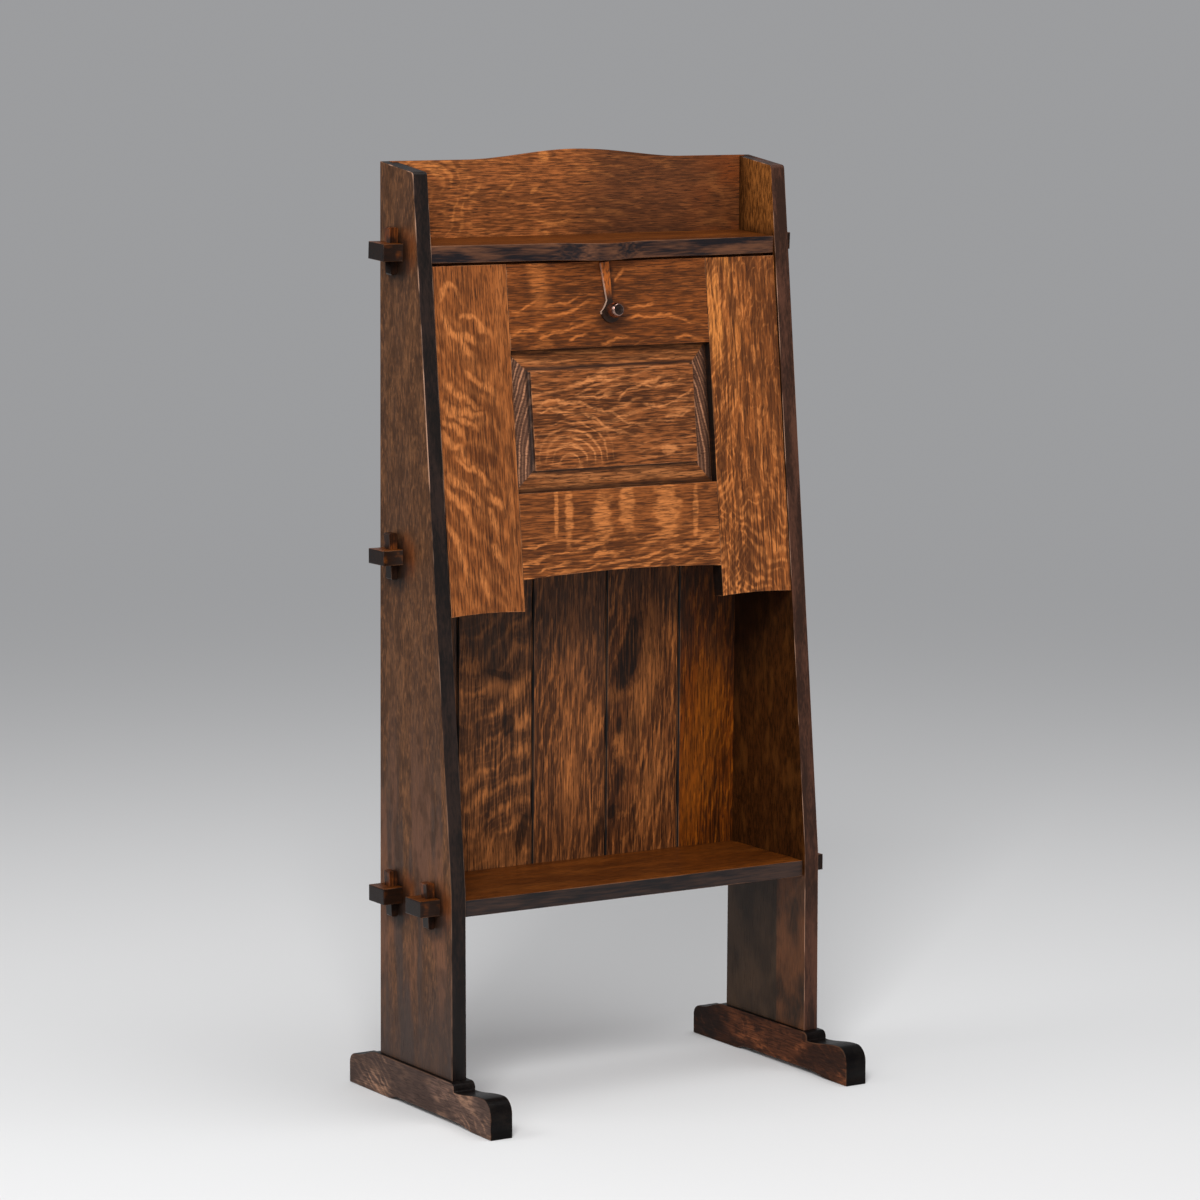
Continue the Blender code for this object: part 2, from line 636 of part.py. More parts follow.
face_front = -FALL_THICKNESS / 2
fall_bottom = -PIVOT_UP_STILE
fall_top = FALL_LENGTH - PIVOT_UP_STILE
stile_outer = INNER_HALF - DOOR_SIDE_GAP
stile_inner = stile_outer - STILE_WIDTH
opening_bottom = fall_bottom + STILE_DROP + BOTTOM_RAIL_WIDTH
opening_top = fall_top - TOP_RAIL_WIDTH
tongue_front = face_front + PANEL_FIELD_SETBACK + PANEL_STEP + PANEL_BEVEL_DROP
tongue_rear = FALL_THICKNESS / 2 - PANEL_BACK_LIP
groove_depth = PANEL_TONGUE_LENGTH + FIT
rail_tenons = {
    "top": (opening_top + RAIL_TENON_MARGIN, fall_top - RAIL_TENON_MARGIN),
    "bottom": (fall_bottom + STILE_DROP + RAIL_TENON_MARGIN, opening_bottom - RAIL_TENON_MARGIN),
}
tenon_half = RAIL_TENON_THICKNESS / 2


def fall_piece(piece):
    return place(piece, (0.0, 0.0, 0.0), parent=fall_frame)


def hollow_end(x_start, x_end, z, hollow):
    """Points along an end that is hollowed upward between two corners."""
    points = []
    for step in range(2 * CURVE_STEPS + 1):
        share = step / CURVE_STEPS - 1
        middle, half = (x_start + x_end) / 2, (x_end - x_start) / 2
        points.append((middle + half * share, z + hollow * (1 - share ** 2)))
    return points


def make_stile(side_name, side):
    outer, inner = side * stile_outer, side * stile_inner
    outline = hollow_end(outer, inner, fall_bottom, STILE_END_HOLLOW)
    outline += [(inner, fall_top), (outer, fall_top)]
    stile = fall_piece(extruded(
        f"{side_name}_stile", [(x, face_front, z) for x, z in outline], (0.0, FALL_THICKNESS, 0.0), oak_fall
    ))
    low_x, high_x = sorted((side * (stile_inner - groove_depth), side * (stile_inner + groove_depth)))
    low = (low_x, tongue_front - FIT, opening_bottom - groove_depth)
    high = (high_x, tongue_rear + FIT, opening_top + groove_depth)
    groove = block(f"{side_name}_stile_groove", low, high)
    combine(stile, fall_piece(groove), "DIFFERENCE")
    for rail_name, (tenon_low, tenon_high) in rail_tenons.items():
        reach = RAIL_TENON_LENGTH + FIT
        low_x, high_x = sorted((side * (stile_inner - reach), side * (stile_inner + reach)))
        low = (low_x, -tenon_half - FIT, tenon_low - FIT)
        high = (high_x, tenon_half + FIT, tenon_high + FIT)
        mortise = block(f"{side_name}_stile_{rail_name}_mortise", low, high)
        combine(stile, fall_piece(mortise), "DIFFERENCE")
    hole = rod_along_x(
        f"{side_name}_stile_pin_hole", PIN_RADIUS + FIT,
        side * (stile_outer - PIN_IN_STILE - FIT), side * (stile_outer + PIN_IN_STILE),
    )
    combine(stile, fall_piece(hole), "DIFFERENCE")
    fall_piece(rod_along_x(
        f"{side_name}_pivot_pin", PIN_RADIUS,
        side * (stile_outer - PIN_IN_STILE), side * (INNER_HALF + PIN_IN_SIDE), steel,
    ))


def make_rail(rail_name, lower_edge, top):
    shoulder = stile_inner - FIT
    outline = lower_edge + [(shoulder, top), (-shoulder, top)]
    rail = fall_piece(extruded(
        f"{rail_name}_rail", [(x, face_front, z) for x, z in outline], (0.0, FALL_THICKNESS, 0.0), oak_fall
    ))
    tenon_low, tenon_high = rail_tenons[rail_name]
    for side_name, side in SIDES.items():
        root, end = shoulder - RAIL_TENON_LENGTH, stile_inner + RAIL_TENON_LENGTH
        low_x, high_x = sorted((side * root, side * end))
        low = (low_x, -tenon_half, tenon_low)
        tenon = block(f"{rail_name}_rail_{side_name}_tenon", low, (high_x, tenon_half, tenon_high))
        combine(rail, fall_piece(tenon), "UNION")
    panel_edge = opening_top if rail_name == "top" else opening_bottom
    low = (-stile_outer, tongue_front - FIT, panel_edge - groove_depth)
    high = (stile_outer, tongue_rear + FIT, panel_edge + groove_depth)
    groove = block(f"{rail_name}_rail_groove", low, high)
    combine(rail, fall_piece(groove), "DIFFERENCE")
    return rail


for name, sign in SIDES.items():
    make_stile(name, sign)
rail_shoulder = stile_inner - FIT
make_rail(
    "bottom", hollow_end(-rail_shoulder, rail_shoulder, fall_bottom + STILE_DROP, RAIL_ARCH), opening_bottom
)
top_rail = make_rail("top", [(-rail_shoulder, opening_top), (rail_shoulder, opening_top)], fall_top)

# Raised panel: flush back, tongue in the grooves, sloped margin, upright step and a flat field
panel_half = (opening_top - opening_bottom) / 2
panel_middle = (opening_top + opening_bottom) / 2


def panel_ring(margin, y):
    """Rectangle inside the panel opening by a margin, at one depth."""
    half_x, half_z = stile_inner - margin, panel_half - margin
    corners = ((-1, -1), (1, -1), (1, 1), (-1, 1))
    return [(half_x * a, y, panel_middle + half_z * b) for a, b in corners]


field_front = face_front + PANEL_FIELD_SETBACK
fall_piece(lofted("raised_panel", [
    panel_ring(PANEL_GAP, -face_front),
    panel_ring(PANEL_GAP, tongue_rear),
    panel_ring(-PANEL_TONGUE_LENGTH, tongue_rear),
    panel_ring(-PANEL_TONGUE_LENGTH, tongue_front),
    panel_ring(PANEL_GAP, tongue_front),
    panel_ring(PANEL_BEVEL_WIDTH, field_front + PANEL_STEP),
    panel_ring(PANEL_BEVEL_WIDTH, field_front),
], oak_panel))

# Stop strip under the upper shelf, behind the fall's top edge
stop_reach = fall_inner(UPPER_SHELF_HEIGHT) - SHELF_FRONT
stop_top = UPPER_SHELF_HEIGHT + stop_reach * math.tan(UPPER_SHELF_TILT) - FIT
stop_bottom = stop_top - DOOR_STOP_HEIGHT
stop_front_top = fall_inner(stop_top) + FIT
stop_front_bottom = fall_inner(stop_bottom) + FIT
stop_outline = [
    (stop_front_top, stop_top),
    (stop_front_top + DOOR_STOP_DEPTH, stop_top + DOOR_STOP_DEPTH * math.tan(UPPER_SHELF_TILT)),
    (stop_front_top + DOOR_STOP_DEPTH, stop_bottom),
    (stop_front_bottom, stop_bottom),
]
stop_half = INNER_HALF - FIT
extruded("door_stop", [(-stop_half, y, z) for y, z in stop_outline], (2 * stop_half, 0.0, 0.0), oak_shelf)


# Turn latch, in a frame on the fall's front face at the spindle
latch_frame = bpy.data.objects.new("latch_axis", None)
bpy.context.scene.collection.objects.link(latch_frame)
latch_frame.location = (0.0, face_front, fall_top - LATCH_BELOW_TOP)
latch_frame.rotation_euler = (0.0, -LATCH_TILT, 0.0)
latch_frame.parent = fall_frame


def latch_piece(piece):
    return place(piece, (0.0, 0.0, 0.0), parent=latch_frame)


spindle_hole = SPINDLE_RADIUS + FIT
plate_out = FIT
knob_out = plate_out + LATCH_PLATE_THICKNESS + FIT
tip = LATCH_BELOW_TOP - LATCH_TIP_CLEARANCE
right_edge = [(LATCH_TIP_WIDTH / 2, tip), (LATCH_WAIST_WIDTH / 2, LATCH_WAIST_HEIGHT)]
for step in range(1, CURVE_STEPS + 1):
    share = step / CURVE_STEPS
    fall_away = share * (1 + LATCH_FLARE_HOLLOW * (1 - share))
    right_edge.append((
        LATCH_WAIST_WIDTH / 2 + (LATCH_PLATE_WIDTH - LATCH_WAIST_WIDTH) / 2 * share,
        LATCH_WAIST_HEIGHT + (LATCH_FLARE_HEIGHT - LATCH_WAIST_HEIGHT) * fall_away,
    ))
plate_end = [
    (x * LATCH_PLATE_WIDTH / 2, z * LATCH_PLATE_DROP)
    for x, z in arc((0.0, 0.0), 1.0, 0, -180, 2 * CURVE_STEPS)
]
left_edge = [(-x, z) for x, z in reversed(right_edge)]
plate_outline = [(x, -plate_out, z) for x, z in right_edge + plate_end + left_edge]
plate = latch_piece(extruded("latch_plate", plate_outline, (0.0, -LATCH_PLATE_THICKNESS, 0.0), dark_iron))
bore_reach = FALL_THICKNESS + NUT_THICKNESS
plate_bore = turned("latch_plate_bore", [(spindle_hole, -bore_reach), (spindle_hole, bore_reach)])
combine(plate, latch_piece(plate_bore), "DIFFERENCE")
rail_bore = turned("top_rail_bore", [(spindle_hole, -bore_reach), (spindle_hole, bore_reach)])
combine(top_rail, latch_piece(rail_bore), "DIFFERENCE")

# Knob: a ball flattened at the plate and at its dished face, with a blind hole for the spindle
knob_front = knob_out + KNOB_LENGTH
knob_profile = [(spindle_hole, knob_out + KNOB_HOLE_DEPTH), (spindle_hole, knob_out)]
swell_start = math.asin(KNOB_BASE_RADIUS / KNOB_RADIUS)
swell_end = math.pi - math.asin(KNOB_FACE_RADIUS / KNOB_RADIUS)
for step in range(2 * CURVE_STEPS + 1):
    swell = swell_start + (swell_end - swell_start) * step / (2 * CURVE_STEPS)
    along = (math.cos(swell_start) - math.cos(swell)) / (math.cos(swell_start) - math.cos(swell_end))
    knob_profile.append((KNOB_RADIUS * math.sin(swell), knob_out + KNOB_LENGTH * along))
knob_profile.append((KNOB_DISH_RADIUS, knob_front - KNOB_DISH))
latch_piece(turned("latch_knob", knob_profile, dark_bronze))

nut_front = -FALL_THICKNESS - FIT
spindle_rear = nut_front - NUT_THICKNESS
spindle_front = knob_out + KNOB_HOLE_DEPTH - FIT
latch_piece(turned(
    "latch_spindle", [(SPINDLE_RADIUS, spindle_rear), (SPINDLE_RADIUS, spindle_front)], steel
))
latch_piece(turned("latch_nut", [
    (spindle_hole, nut_front), (NUT_RADIUS, nut_front),
    (NUT_RADIUS, spindle_rear), (spindle_hole, spindle_rear),
], dark_iron, closed=True))
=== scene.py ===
import json
import math

import bmesh
import bpy
from mathutils import Matrix, Vector


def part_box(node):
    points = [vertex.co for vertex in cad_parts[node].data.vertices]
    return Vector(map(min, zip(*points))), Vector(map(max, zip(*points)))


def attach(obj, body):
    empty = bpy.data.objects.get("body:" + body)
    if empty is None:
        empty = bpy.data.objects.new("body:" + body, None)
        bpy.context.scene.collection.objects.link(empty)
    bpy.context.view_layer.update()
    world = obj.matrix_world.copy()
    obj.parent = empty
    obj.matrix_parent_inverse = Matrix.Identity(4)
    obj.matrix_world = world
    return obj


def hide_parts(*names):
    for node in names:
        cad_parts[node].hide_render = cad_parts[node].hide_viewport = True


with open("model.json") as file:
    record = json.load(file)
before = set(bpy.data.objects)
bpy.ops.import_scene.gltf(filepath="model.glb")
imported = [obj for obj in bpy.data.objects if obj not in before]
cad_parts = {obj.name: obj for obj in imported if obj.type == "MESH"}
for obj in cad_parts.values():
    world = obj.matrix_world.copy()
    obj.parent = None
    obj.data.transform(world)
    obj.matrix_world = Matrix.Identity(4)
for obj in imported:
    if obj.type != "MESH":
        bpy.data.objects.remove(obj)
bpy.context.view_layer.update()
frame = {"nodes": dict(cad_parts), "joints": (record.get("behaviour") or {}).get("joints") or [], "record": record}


# Studio: a wide pale floor under an even sky, lit by one large soft lamp high to the left of the front and
# weaker ones near the camera, overhead and far left. The camera stands left of the front with a long lens
# and looks slightly down.
def srgb(red, green, blue):
    """Linear colour from the 0 to 255 values that a screen shows."""
    shares = [value / 255 for value in (red, green, blue)]
    return (*[s / 12.92 if s <= 0.04045 else ((s + 0.055) / 1.055) ** 2.4 for s in shares], 1.0)


class Tone:
    """A value on its way through a finish: arithmetic on it adds Math nodes."""

    def __init__(self, finish, socket):
        self.finish = finish
        self.socket = socket

    def maths(self, operation, *values):
        return self.finish.node("ShaderNodeMath", {"operation": operation}, dict(enumerate(values)))

    def __add__(self, other):
        return self.maths("ADD", self, other)

    def __sub__(self, other):
        return self.maths("SUBTRACT", self, other)

    def __rsub__(self, other):
        return self.maths("SUBTRACT", other, self)

    def __mul__(self, other):
        return self.maths("MULTIPLY", self, other)

    def __truediv__(self, other):
        return self.maths("DIVIDE", self, other)

    def __pow__(self, other):
        return self.maths("POWER", self, other)

    __radd__ = __add__
    __rmul__ = __mul__

    def size(self):
        return self.maths("ABSOLUTE", self)

    def fraction(self):
        return self.maths("FRACT", self)

    def most(self, other):
        return self.maths("MAXIMUM", self, other)

    def least(self, other):
        return self.maths("MINIMUM", self, other)


class Finish:
    """A material's nodes, ending in one Principled surface."""

    SEED_STRIDE = Vector((1.71, 2.93, 3.37))

    def __init__(self, name):
        self.material = bpy.data.materials.new(name)
        self.material.use_nodes = True
        self.tree = self.material.node_tree
        self.surface = self.tree.nodes["Principled BSDF"]

    def node(self, kind, settings, sockets, output=0):
        """Add a node, set it up, then give its sockets their values or links."""
        node = self.tree.nodes.new(kind)
        for name, value in settings.items():
            setattr(node, name, value)
        self.feed(node, sockets)
        return Tone(self, node.outputs[output])

    def feed(self, node, sockets):
        for name, value in sockets.items():
            if isinstance(value, Tone):
                self.tree.links.new(value.socket, node.inputs[name])
            else:
                node.inputs[name].default_value = value

    def lay(self, axes, origin=(0.0, 0.0, 0.0), lean=0.0, seed=0.0):
        """Take the piece's own directions: u along the grain, v across its face and w through it."""
        place = self.node("ShaderNodeTexCoord", {}, {}, "Object")
        turned = {"Vector": place, "Location": origin, "Rotation": (lean, 0.0, 0.0)}
        place = self.node("ShaderNodeMapping", {"vector_type": "TEXTURE"}, turned)
        parts = self.node("ShaderNodeSeparateXYZ", {}, {0: place}).socket.node.outputs
        self.u, self.v, self.w = (Tone(self, parts["XYZ".index(axis)]) for axis in axes)
        self.grain = self.node("ShaderNodeCombineXYZ", {}, {0: self.u, 1: self.v, 2: self.w})
        self.shift = self.SEED_STRIDE * seed

    def noise(self, waves, detail=2.0, extra=0.0):
        """Noise about 0.5, with so many cells a metre along, across and through the grain.

        Another extra gives another noise with the same waves.
        """
        shift = tuple(self.shift + Vector((extra, extra, extra)))
        stretched = {0: self.grain, 1: waves, 2: shift}
        place = self.node("ShaderNodeVectorMath", {"operation": "MULTIPLY_ADD"}, stretched)
        return self.node("ShaderNodeTexNoise", {}, {"Vector": place, "Scale": 1.0, "Detail": detail}, "Fac")

    def step(self, value, low, high):
        """Smooth rise from 0 at low to 1 at high."""
        limits = {"Value": value, "From Min": low, "From Max": high}
        return self.node("ShaderNodeMapRange", {"interpolation_type": "SMOOTHSTEP"}, limits)

    def mark(self, name):
        """A mark that the piece's mesh carries on its faces."""
        return self.node("ShaderNodeAttribute", {"attribute_name": name}, {}, "Fac")

    def mix(self, share, first, second):
        """Colour between two, by a share from 0 to 1."""
        return self.node("ShaderNodeMix", {"data_type": "RGBA"}, {0: share, 6: first, 7: second}, 2)


FLOOR_HALF = 300.0
FLOOR_DROP = 0.0004
SHEET_NEAR = 1.2
SHEET_FAR = 6.0
PALE_SHEET = srgb(226, 226, 226)
SKY_COLOUR = srgb(246, 247, 250)
SKY_LIGHT = 0.36
floor_shape = bmesh.new()
bmesh.ops.create_grid(floor_shape, x_segments=1, y_segments=1, size=FLOOR_HALF)
bmesh.ops.translate(floor_shape, verts=floor_shape.verts, vec=(0.0, 0.0, -FLOOR_DROP))
floor_mesh = bpy.data.meshes.new("floor")
floor_shape.to_mesh(floor_mesh)
floor_shape.free()
floor = bpy.data.objects.new("floor", floor_mesh)
bpy.context.scene.collection.objects.link(floor)
sheet = Finish("pale_sheet")
sheet.lay("XYZ")
sheet.feed(sheet.surface, {"Base Color": PALE_SHEET, "Roughness": 0.9, "Specular IOR Level": 0.1})
away = sheet.step((sheet.u * sheet.u + sheet.v * sheet.v) ** 0.5, SHEET_NEAR, SHEET_FAR)
haze = sheet.node("ShaderNodeEmission", {}, {"Color": SKY_COLOUR, "Strength": SKY_LIGHT})
lit = Tone(sheet, sheet.surface.outputs[0])
blended = sheet.node("ShaderNodeMixShader", {}, {0: away, 1: lit, 2: haze})
sheet.feed(sheet.tree.nodes["Material Output"], {"Surface": blended})
floor_mesh.materials.append(sheet.material)

sky = bpy.data.worlds.new("even_sky")
sky.use_nodes = True
sky.node_tree.nodes["Background"].inputs["Color"].default_value = SKY_COLOUR
sky.node_tree.nodes["Background"].inputs["Strength"].default_value = SKY_LIGHT
bpy.context.scene.world = sky


def soft_lamp(name, place, aim, size, power):
    """Square soft lamp at a place, facing its aim."""
    light = bpy.data.lights.new(name, "AREA")
    light.size = size
    light.energy = power
    lamp = bpy.data.objects.new(name, light)
    lamp.location = place
    lamp.rotation_euler = (Vector(aim) - Vector(place)).to_track_quat("-Z", "Y").to_euler()
    bpy.context.scene.collection.objects.link(lamp)


soft_lamp("left_front_lamp", (-2.5, -3.4, 3.7), aim=(0.0, 0.0, 0.7), size=1.5, power=185.0)
soft_lamp("camera_side_lamp", (-3.6, -3.6, 1.8), aim=(0.0, 0.0, 0.6), size=1.6, power=40.0)
soft_lamp("overhead_lamp", (0.6, -0.9, 3.8), aim=(0.0, 0.0, 0.6), size=1.8, power=40.0)
soft_lamp("far_left_lamp", (-2.5, 0.6, 2.5), aim=(0.0, 0.0, 0.95), size=1.5, power=18.0)

CAMERA_PLACE = (-2.85124, -4.59043, 1.31962)
CAMERA_TURN = math.radians(-31.7459)
CAMERA_DIP = math.radians(7.4545)
CAMERA_SENSOR = 36.0
CAMERA_LENS = 131.721
camera = bpy.data.objects.new("camera", bpy.data.cameras.new("camera"))
camera.location = CAMERA_PLACE
camera.rotation_euler = (math.pi / 2 - CAMERA_DIP, 0.0, CAMERA_TURN)
camera.data.sensor_width = CAMERA_SENSOR
camera.data.lens = CAMERA_LENS
bpy.context.scene.collection.objects.link(camera)
bpy.context.scene.camera = camera
bpy.context.scene.view_settings.view_transform = "Standard"


# Shoe feet: one length of oak each, sawn to a toe and a heel and relieved underneath. The grain runs the
# length of the foot. Its ends, nose and top are stained nearly black, short rays fleck its flanks and the
# arrises are rubbed.
MERGE = 1e-6
FLUSH = 2e-5
FLAT = math.radians(0.6)
SHARP = math.radians(30)
SMOOTH = math.radians(48)
SHORTEST = 0.003
ROUND_STEPS = 4
ARRIS_STEPS = 2

slot_of = {row["node"]: row["material_slot"] for row in frame["record"]["subparts"]}


def crisp(shape):
    """The edges that a plane would ease: convex, sharp and long enough."""
    pairs = [edge for edge in shape.edges if len(edge.link_faces) == 2 and edge.is_convex]
    return [edge for edge in pairs if edge.calc_face_angle() > SHARP and edge.calc_length() > SHORTEST]


def rims(shape):
    """The sharp edges around a foot's two flanks."""
    places = [vertex.co.x for vertex in shape.verts]
    chosen = []
    for edge in shape.edges:
        flush = [all(abs(v.co.x - end) < MERGE for v in edge.verts) for end in (min(places), max(places))]
        if any(flush) and edge.calc_face_angle() > SHARP:
            chosen.append(edge)
    return chosen


def outermost(shape):
    """The sharp edges between faces with the whole piece behind them."""
    corners = [vertex.co for vertex in shape.verts]
    bare = set()
    for face in shape.faces:
        start = face.verts[0].co
        if all((corner - start).dot(face.normal) < FLUSH for corner in corners):
            bare.add(face)
    return [
        edge for edge in shape.edges
        if all(face in bare for face in edge.link_faces) and edge.calc_face_angle() > SHARP
    ]


def ease(shape, edges, radius, segments):
    """Round edges over, and give the faces that this makes.

    The radius is a limit: where edges beside them run short, all of the rounding is narrowed to fit.
    """
    return bmesh.ops.bevel(
        shape, geom=edges, offset=radius, offset_type="OFFSET", segments=segments, profile=0.5,
        affect="EDGES", clamp_overlap=True, material=-1, loop_slide=True,
    )["faces"]


def add_piece(name, shape, body, node, material):
    """Make a shape into a shown piece that stands for a frame node."""
    mesh = bpy.data.meshes.new(name)
    shape.to_mesh(mesh)
    shape.free()
    mesh.materials.append(material)
    mesh.shade_smooth()
    mesh.set_sharp_from_angle(angle=SMOOTH)
    piece = bpy.data.objects.new(name, mesh)
    bpy.context.scene.collection.objects.link(piece)
    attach(piece, body)
    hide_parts(node)
    return piece


def dress(node, body, material, arris, chosen=crisp, marks=(), rounds=(), made_of="oak"):
    """Copy of a sawn piece with its flats joined up, its ends rounded and its arrises eased.

    Its faces carry marks from 0 to 1 for the finish: arris on the eased edges, and those that marks gives.
    """
    shape = bmesh.new()
    shape.from_mesh(frame["nodes"][node].data)
    bmesh.ops.remove_doubles(shape, verts=shape.verts, dist=MERGE)
    bmesh.ops.dissolve_limit(shape, angle_limit=FLAT, verts=shape.verts, edges=shape.edges)
    shape.normal_update()
    arris_mark = shape.faces.layers.float.new("arris")
    for name, where in marks:
        mark = shape.faces.layers.float.new(name)
        for face in shape.faces:
            face[mark] = 1.0 if where(face) else 0.0
    for ends, radius in rounds:
        ease(shape, ends(shape), radius, ROUND_STEPS)
    for face in ease(shape, chosen(shape), arris, ARRIS_STEPS):
        face[arris_mark] = 1.0
    piece = add_piece(f"{node}_{made_of}", shape, body, node, material)
    weights = piece.modifiers.new("even_flats", "WEIGHTED_NORMAL")
    weights.keep_sharp = True
    return piece


class Oak(Finish):
    """Waxed oak: streaks and pores along the grain, pale rays, stained edges and rubbed arrises.

    Its tones are dark, middle and pale. Fibres are the streaks' cells a metre along the grain, and stripes
    is the share of the broad stripes in the body of the wood.
    """

    BROAD_WAVES = (2.2, 30.0, 30.0)
    STREAKS_ACROSS = 470.0
    PORE_WAVES = (62.0, 980.0, 980.0)
    FRAY_WAVES = (85.0, 150.0, 30.0)
    BODY_MIDDLE = 0.495
    BODY_SPREAD = 0.125

    def __init__(self, name, axes, tones, seed, contrast=1.0, fibres=19.0, stripes=0.36, **laid):
        super().__init__(name)
        self.lay(axes, seed=seed, **laid)
        self.dark, self.middle, self.pale = tones
        self.broad = self.noise(self.BROAD_WAVES, 3.0)
        self.streaks = self.noise((fibres, self.STREAKS_ACROSS, self.STREAKS_ACROSS), 3.0, 4.1)
        spread = self.BODY_SPREAD / contrast
        self.body = self.broad * stripes + self.streaks * (1.0 - stripes)
        self.body = self.step(self.body, self.BODY_MIDDLE - spread, self.BODY_MIDDLE + spread)
        self.colour = self.mix(self.body, self.dark, self.middle)

    def show(self, rays, share):
        """Let pale rays show, broken up by the streaks that cross them."""
        ragged = rays * (0.55 + self.step(self.streaks, 0.36, 0.56) * 0.45)
        self.colour = self.mix(ragged * share, self.colour, self.pale)

    def tint(self, share, colour):
        """Bring in another colour."""
        self.colour = self.mix(share, self.colour, colour)

    def patches(self, waves, low, high, extra):
        """Patches from 0, where the noise is below low, to 1, where it is above high."""
        return self.step(self.noise(waves, 2.0, extra), low, high)

    def rings(self, centre, spacing, wander, waves):
        """Rings counted out from a centre on the board's face, wandering with the wood."""
        along = self.u - centre[0]
        over = self.v - centre[1]
        radius = (along * along + over * over) ** 0.5
        return radius / spacing + (self.noise(waves) - 0.5) * wander

    def flakes(self, count, width, swell, waves, soft=0.10, extra=0.0, rough=0.5):
        """A pale ray at every whole count, ragged, which swells, thins and dies out along its length.

        Width is a ray's share of the count, soft the share over which its edge fades, swell how far the
        noise with these waves widens or narrows it, and rough how far its line is frayed.
        """
        frayed = count + (self.noise(self.FRAY_WAVES, 3.0, extra + 2.6) - 0.5) * rough
        ridge = (frayed.fraction() - 0.5).size() * 2.0
        level = ridge + (self.noise(waves, 2.0, extra) - 0.5) * swell + (self.streaks - 0.5) * 0.45
        return self.step(level, 1.0 - width - soft, 1.0 - width + soft)

    def strokes(self, across, up, rays, half, waver):
        """Long rays over the face, ragged and tapered, of one half width, whose lines waver.

        Each ray is given by its start across and up, its slope, its bend and its reach across.
        """
        off_line = (self.noise((40.0, 50.0, 20.0), 3.0, 6.6) - 0.5) * waver
        frayed = (self.streaks - 0.5) * half * 2.4
        shown = 0.0
        for first, height, slope, bend, reach in rays:
            run = across - first
            steep = slope + run * (2.0 * bend)
            off = up - (height + run * slope + run * run * bend) + off_line
            off = off.size() / (1.0 + steep * steep) ** 0.5 + frayed
            share = run / reach
            ends = self.step(share, -0.05, 0.12) * (1.0 - self.step(share, 0.62, 1.05))
            shown = ((1.0 - self.step(off, half * 0.3, half * 1.5)) * ends).most(shown)
        return shown

    def spot(self, centre, half, turn=0.0, rough=0.35, extra=0.0, soft=0.3):
        """A ragged oval spot on the face, 1 inside and 0 outside, with its half sizes and its turn."""
        along = self.u - centre[0]
        over = self.v - centre[1]
        long_way = along * math.cos(turn) + over * math.sin(turn)
        short_way = over * math.cos(turn) - along * math.sin(turn)
        out = ((long_way / half[0]) ** 2.0 + (short_way / half[1]) ** 2.0) ** 0.5
        ragged = out + (self.noise((60.0, 110.0, 20.0), 3.0, extra) - 0.5) * rough * 4.0
        return 1.0 - self.step(ragged, 0.95 - soft, 0.95 + soft)

    def wax(self, stain, stain_pale, worn, gloss=0.40, pores=1.0, rub=0.5, shine=0.20):
        """Add pores, edge stain, rubbed arrises and relief, and end in the waxed surface."""
        hairs = self.noise(self.PORE_WAVES, 2.0, 7.7)
        pore = self.step(hairs, 0.55, 0.66) * pores
        self.tint(pore * 0.7, tuple(0.25 * value for value in self.dark[:3]) + (1.0,))
        worn_thin = self.noise((7.0, 60.0, 60.0), 3.0, 2.2) * 0.7 + self.streaks * 0.3
        brushed = self.mix(self.step(worn_thin, 0.42, 0.66), stain, stain_pale)
        self.tint(self.mark("stain") * (0.99 - self.streaks * 0.05), brushed)
        bare = self.patches((20.0, 60.0, 60.0), 0.40, 0.66, 9.3)
        self.tint(self.mark("arris") * bare * rub, worn)
        bumped = {"Height": self.streaks * 0.5 - pore * 0.7, "Strength": 0.20, "Distance": 0.0004}
        self.feed(self.surface, {
            "Base Color": self.colour,
            "Roughness": gloss + pore * 0.14 + self.streaks * 0.12,
            "Normal": self.node("ShaderNodeBump", {}, bumped),
            "Specular IOR Level": shine,
        })
        return self.material


FOOT_TONES = {
    "left": (srgb(60, 44, 38), srgb(108, 82, 70), srgb(188, 142, 112)),
    "right": (srgb(34, 17, 9), srgb(94, 52, 30), srgb(160, 92, 54)),
}
FOOT_ARRIS = 0.0012
FOOT_RAY_LEAN = 1.6
FOOT_RAY_SPACING = 0.019
HEEL_FADE = (0.08, 0.16)
BLACK_STAIN = srgb(6, 6, 7)
BLACK_STAIN_PALE = srgb(16, 14, 13)
RUBBED = srgb(170, 122, 92)


def foot_dark(face):
    """Whether a face is an end, the nose or the top of a foot."""
    return abs(face.normal.x) < 0.5 and face.normal.z > -0.5


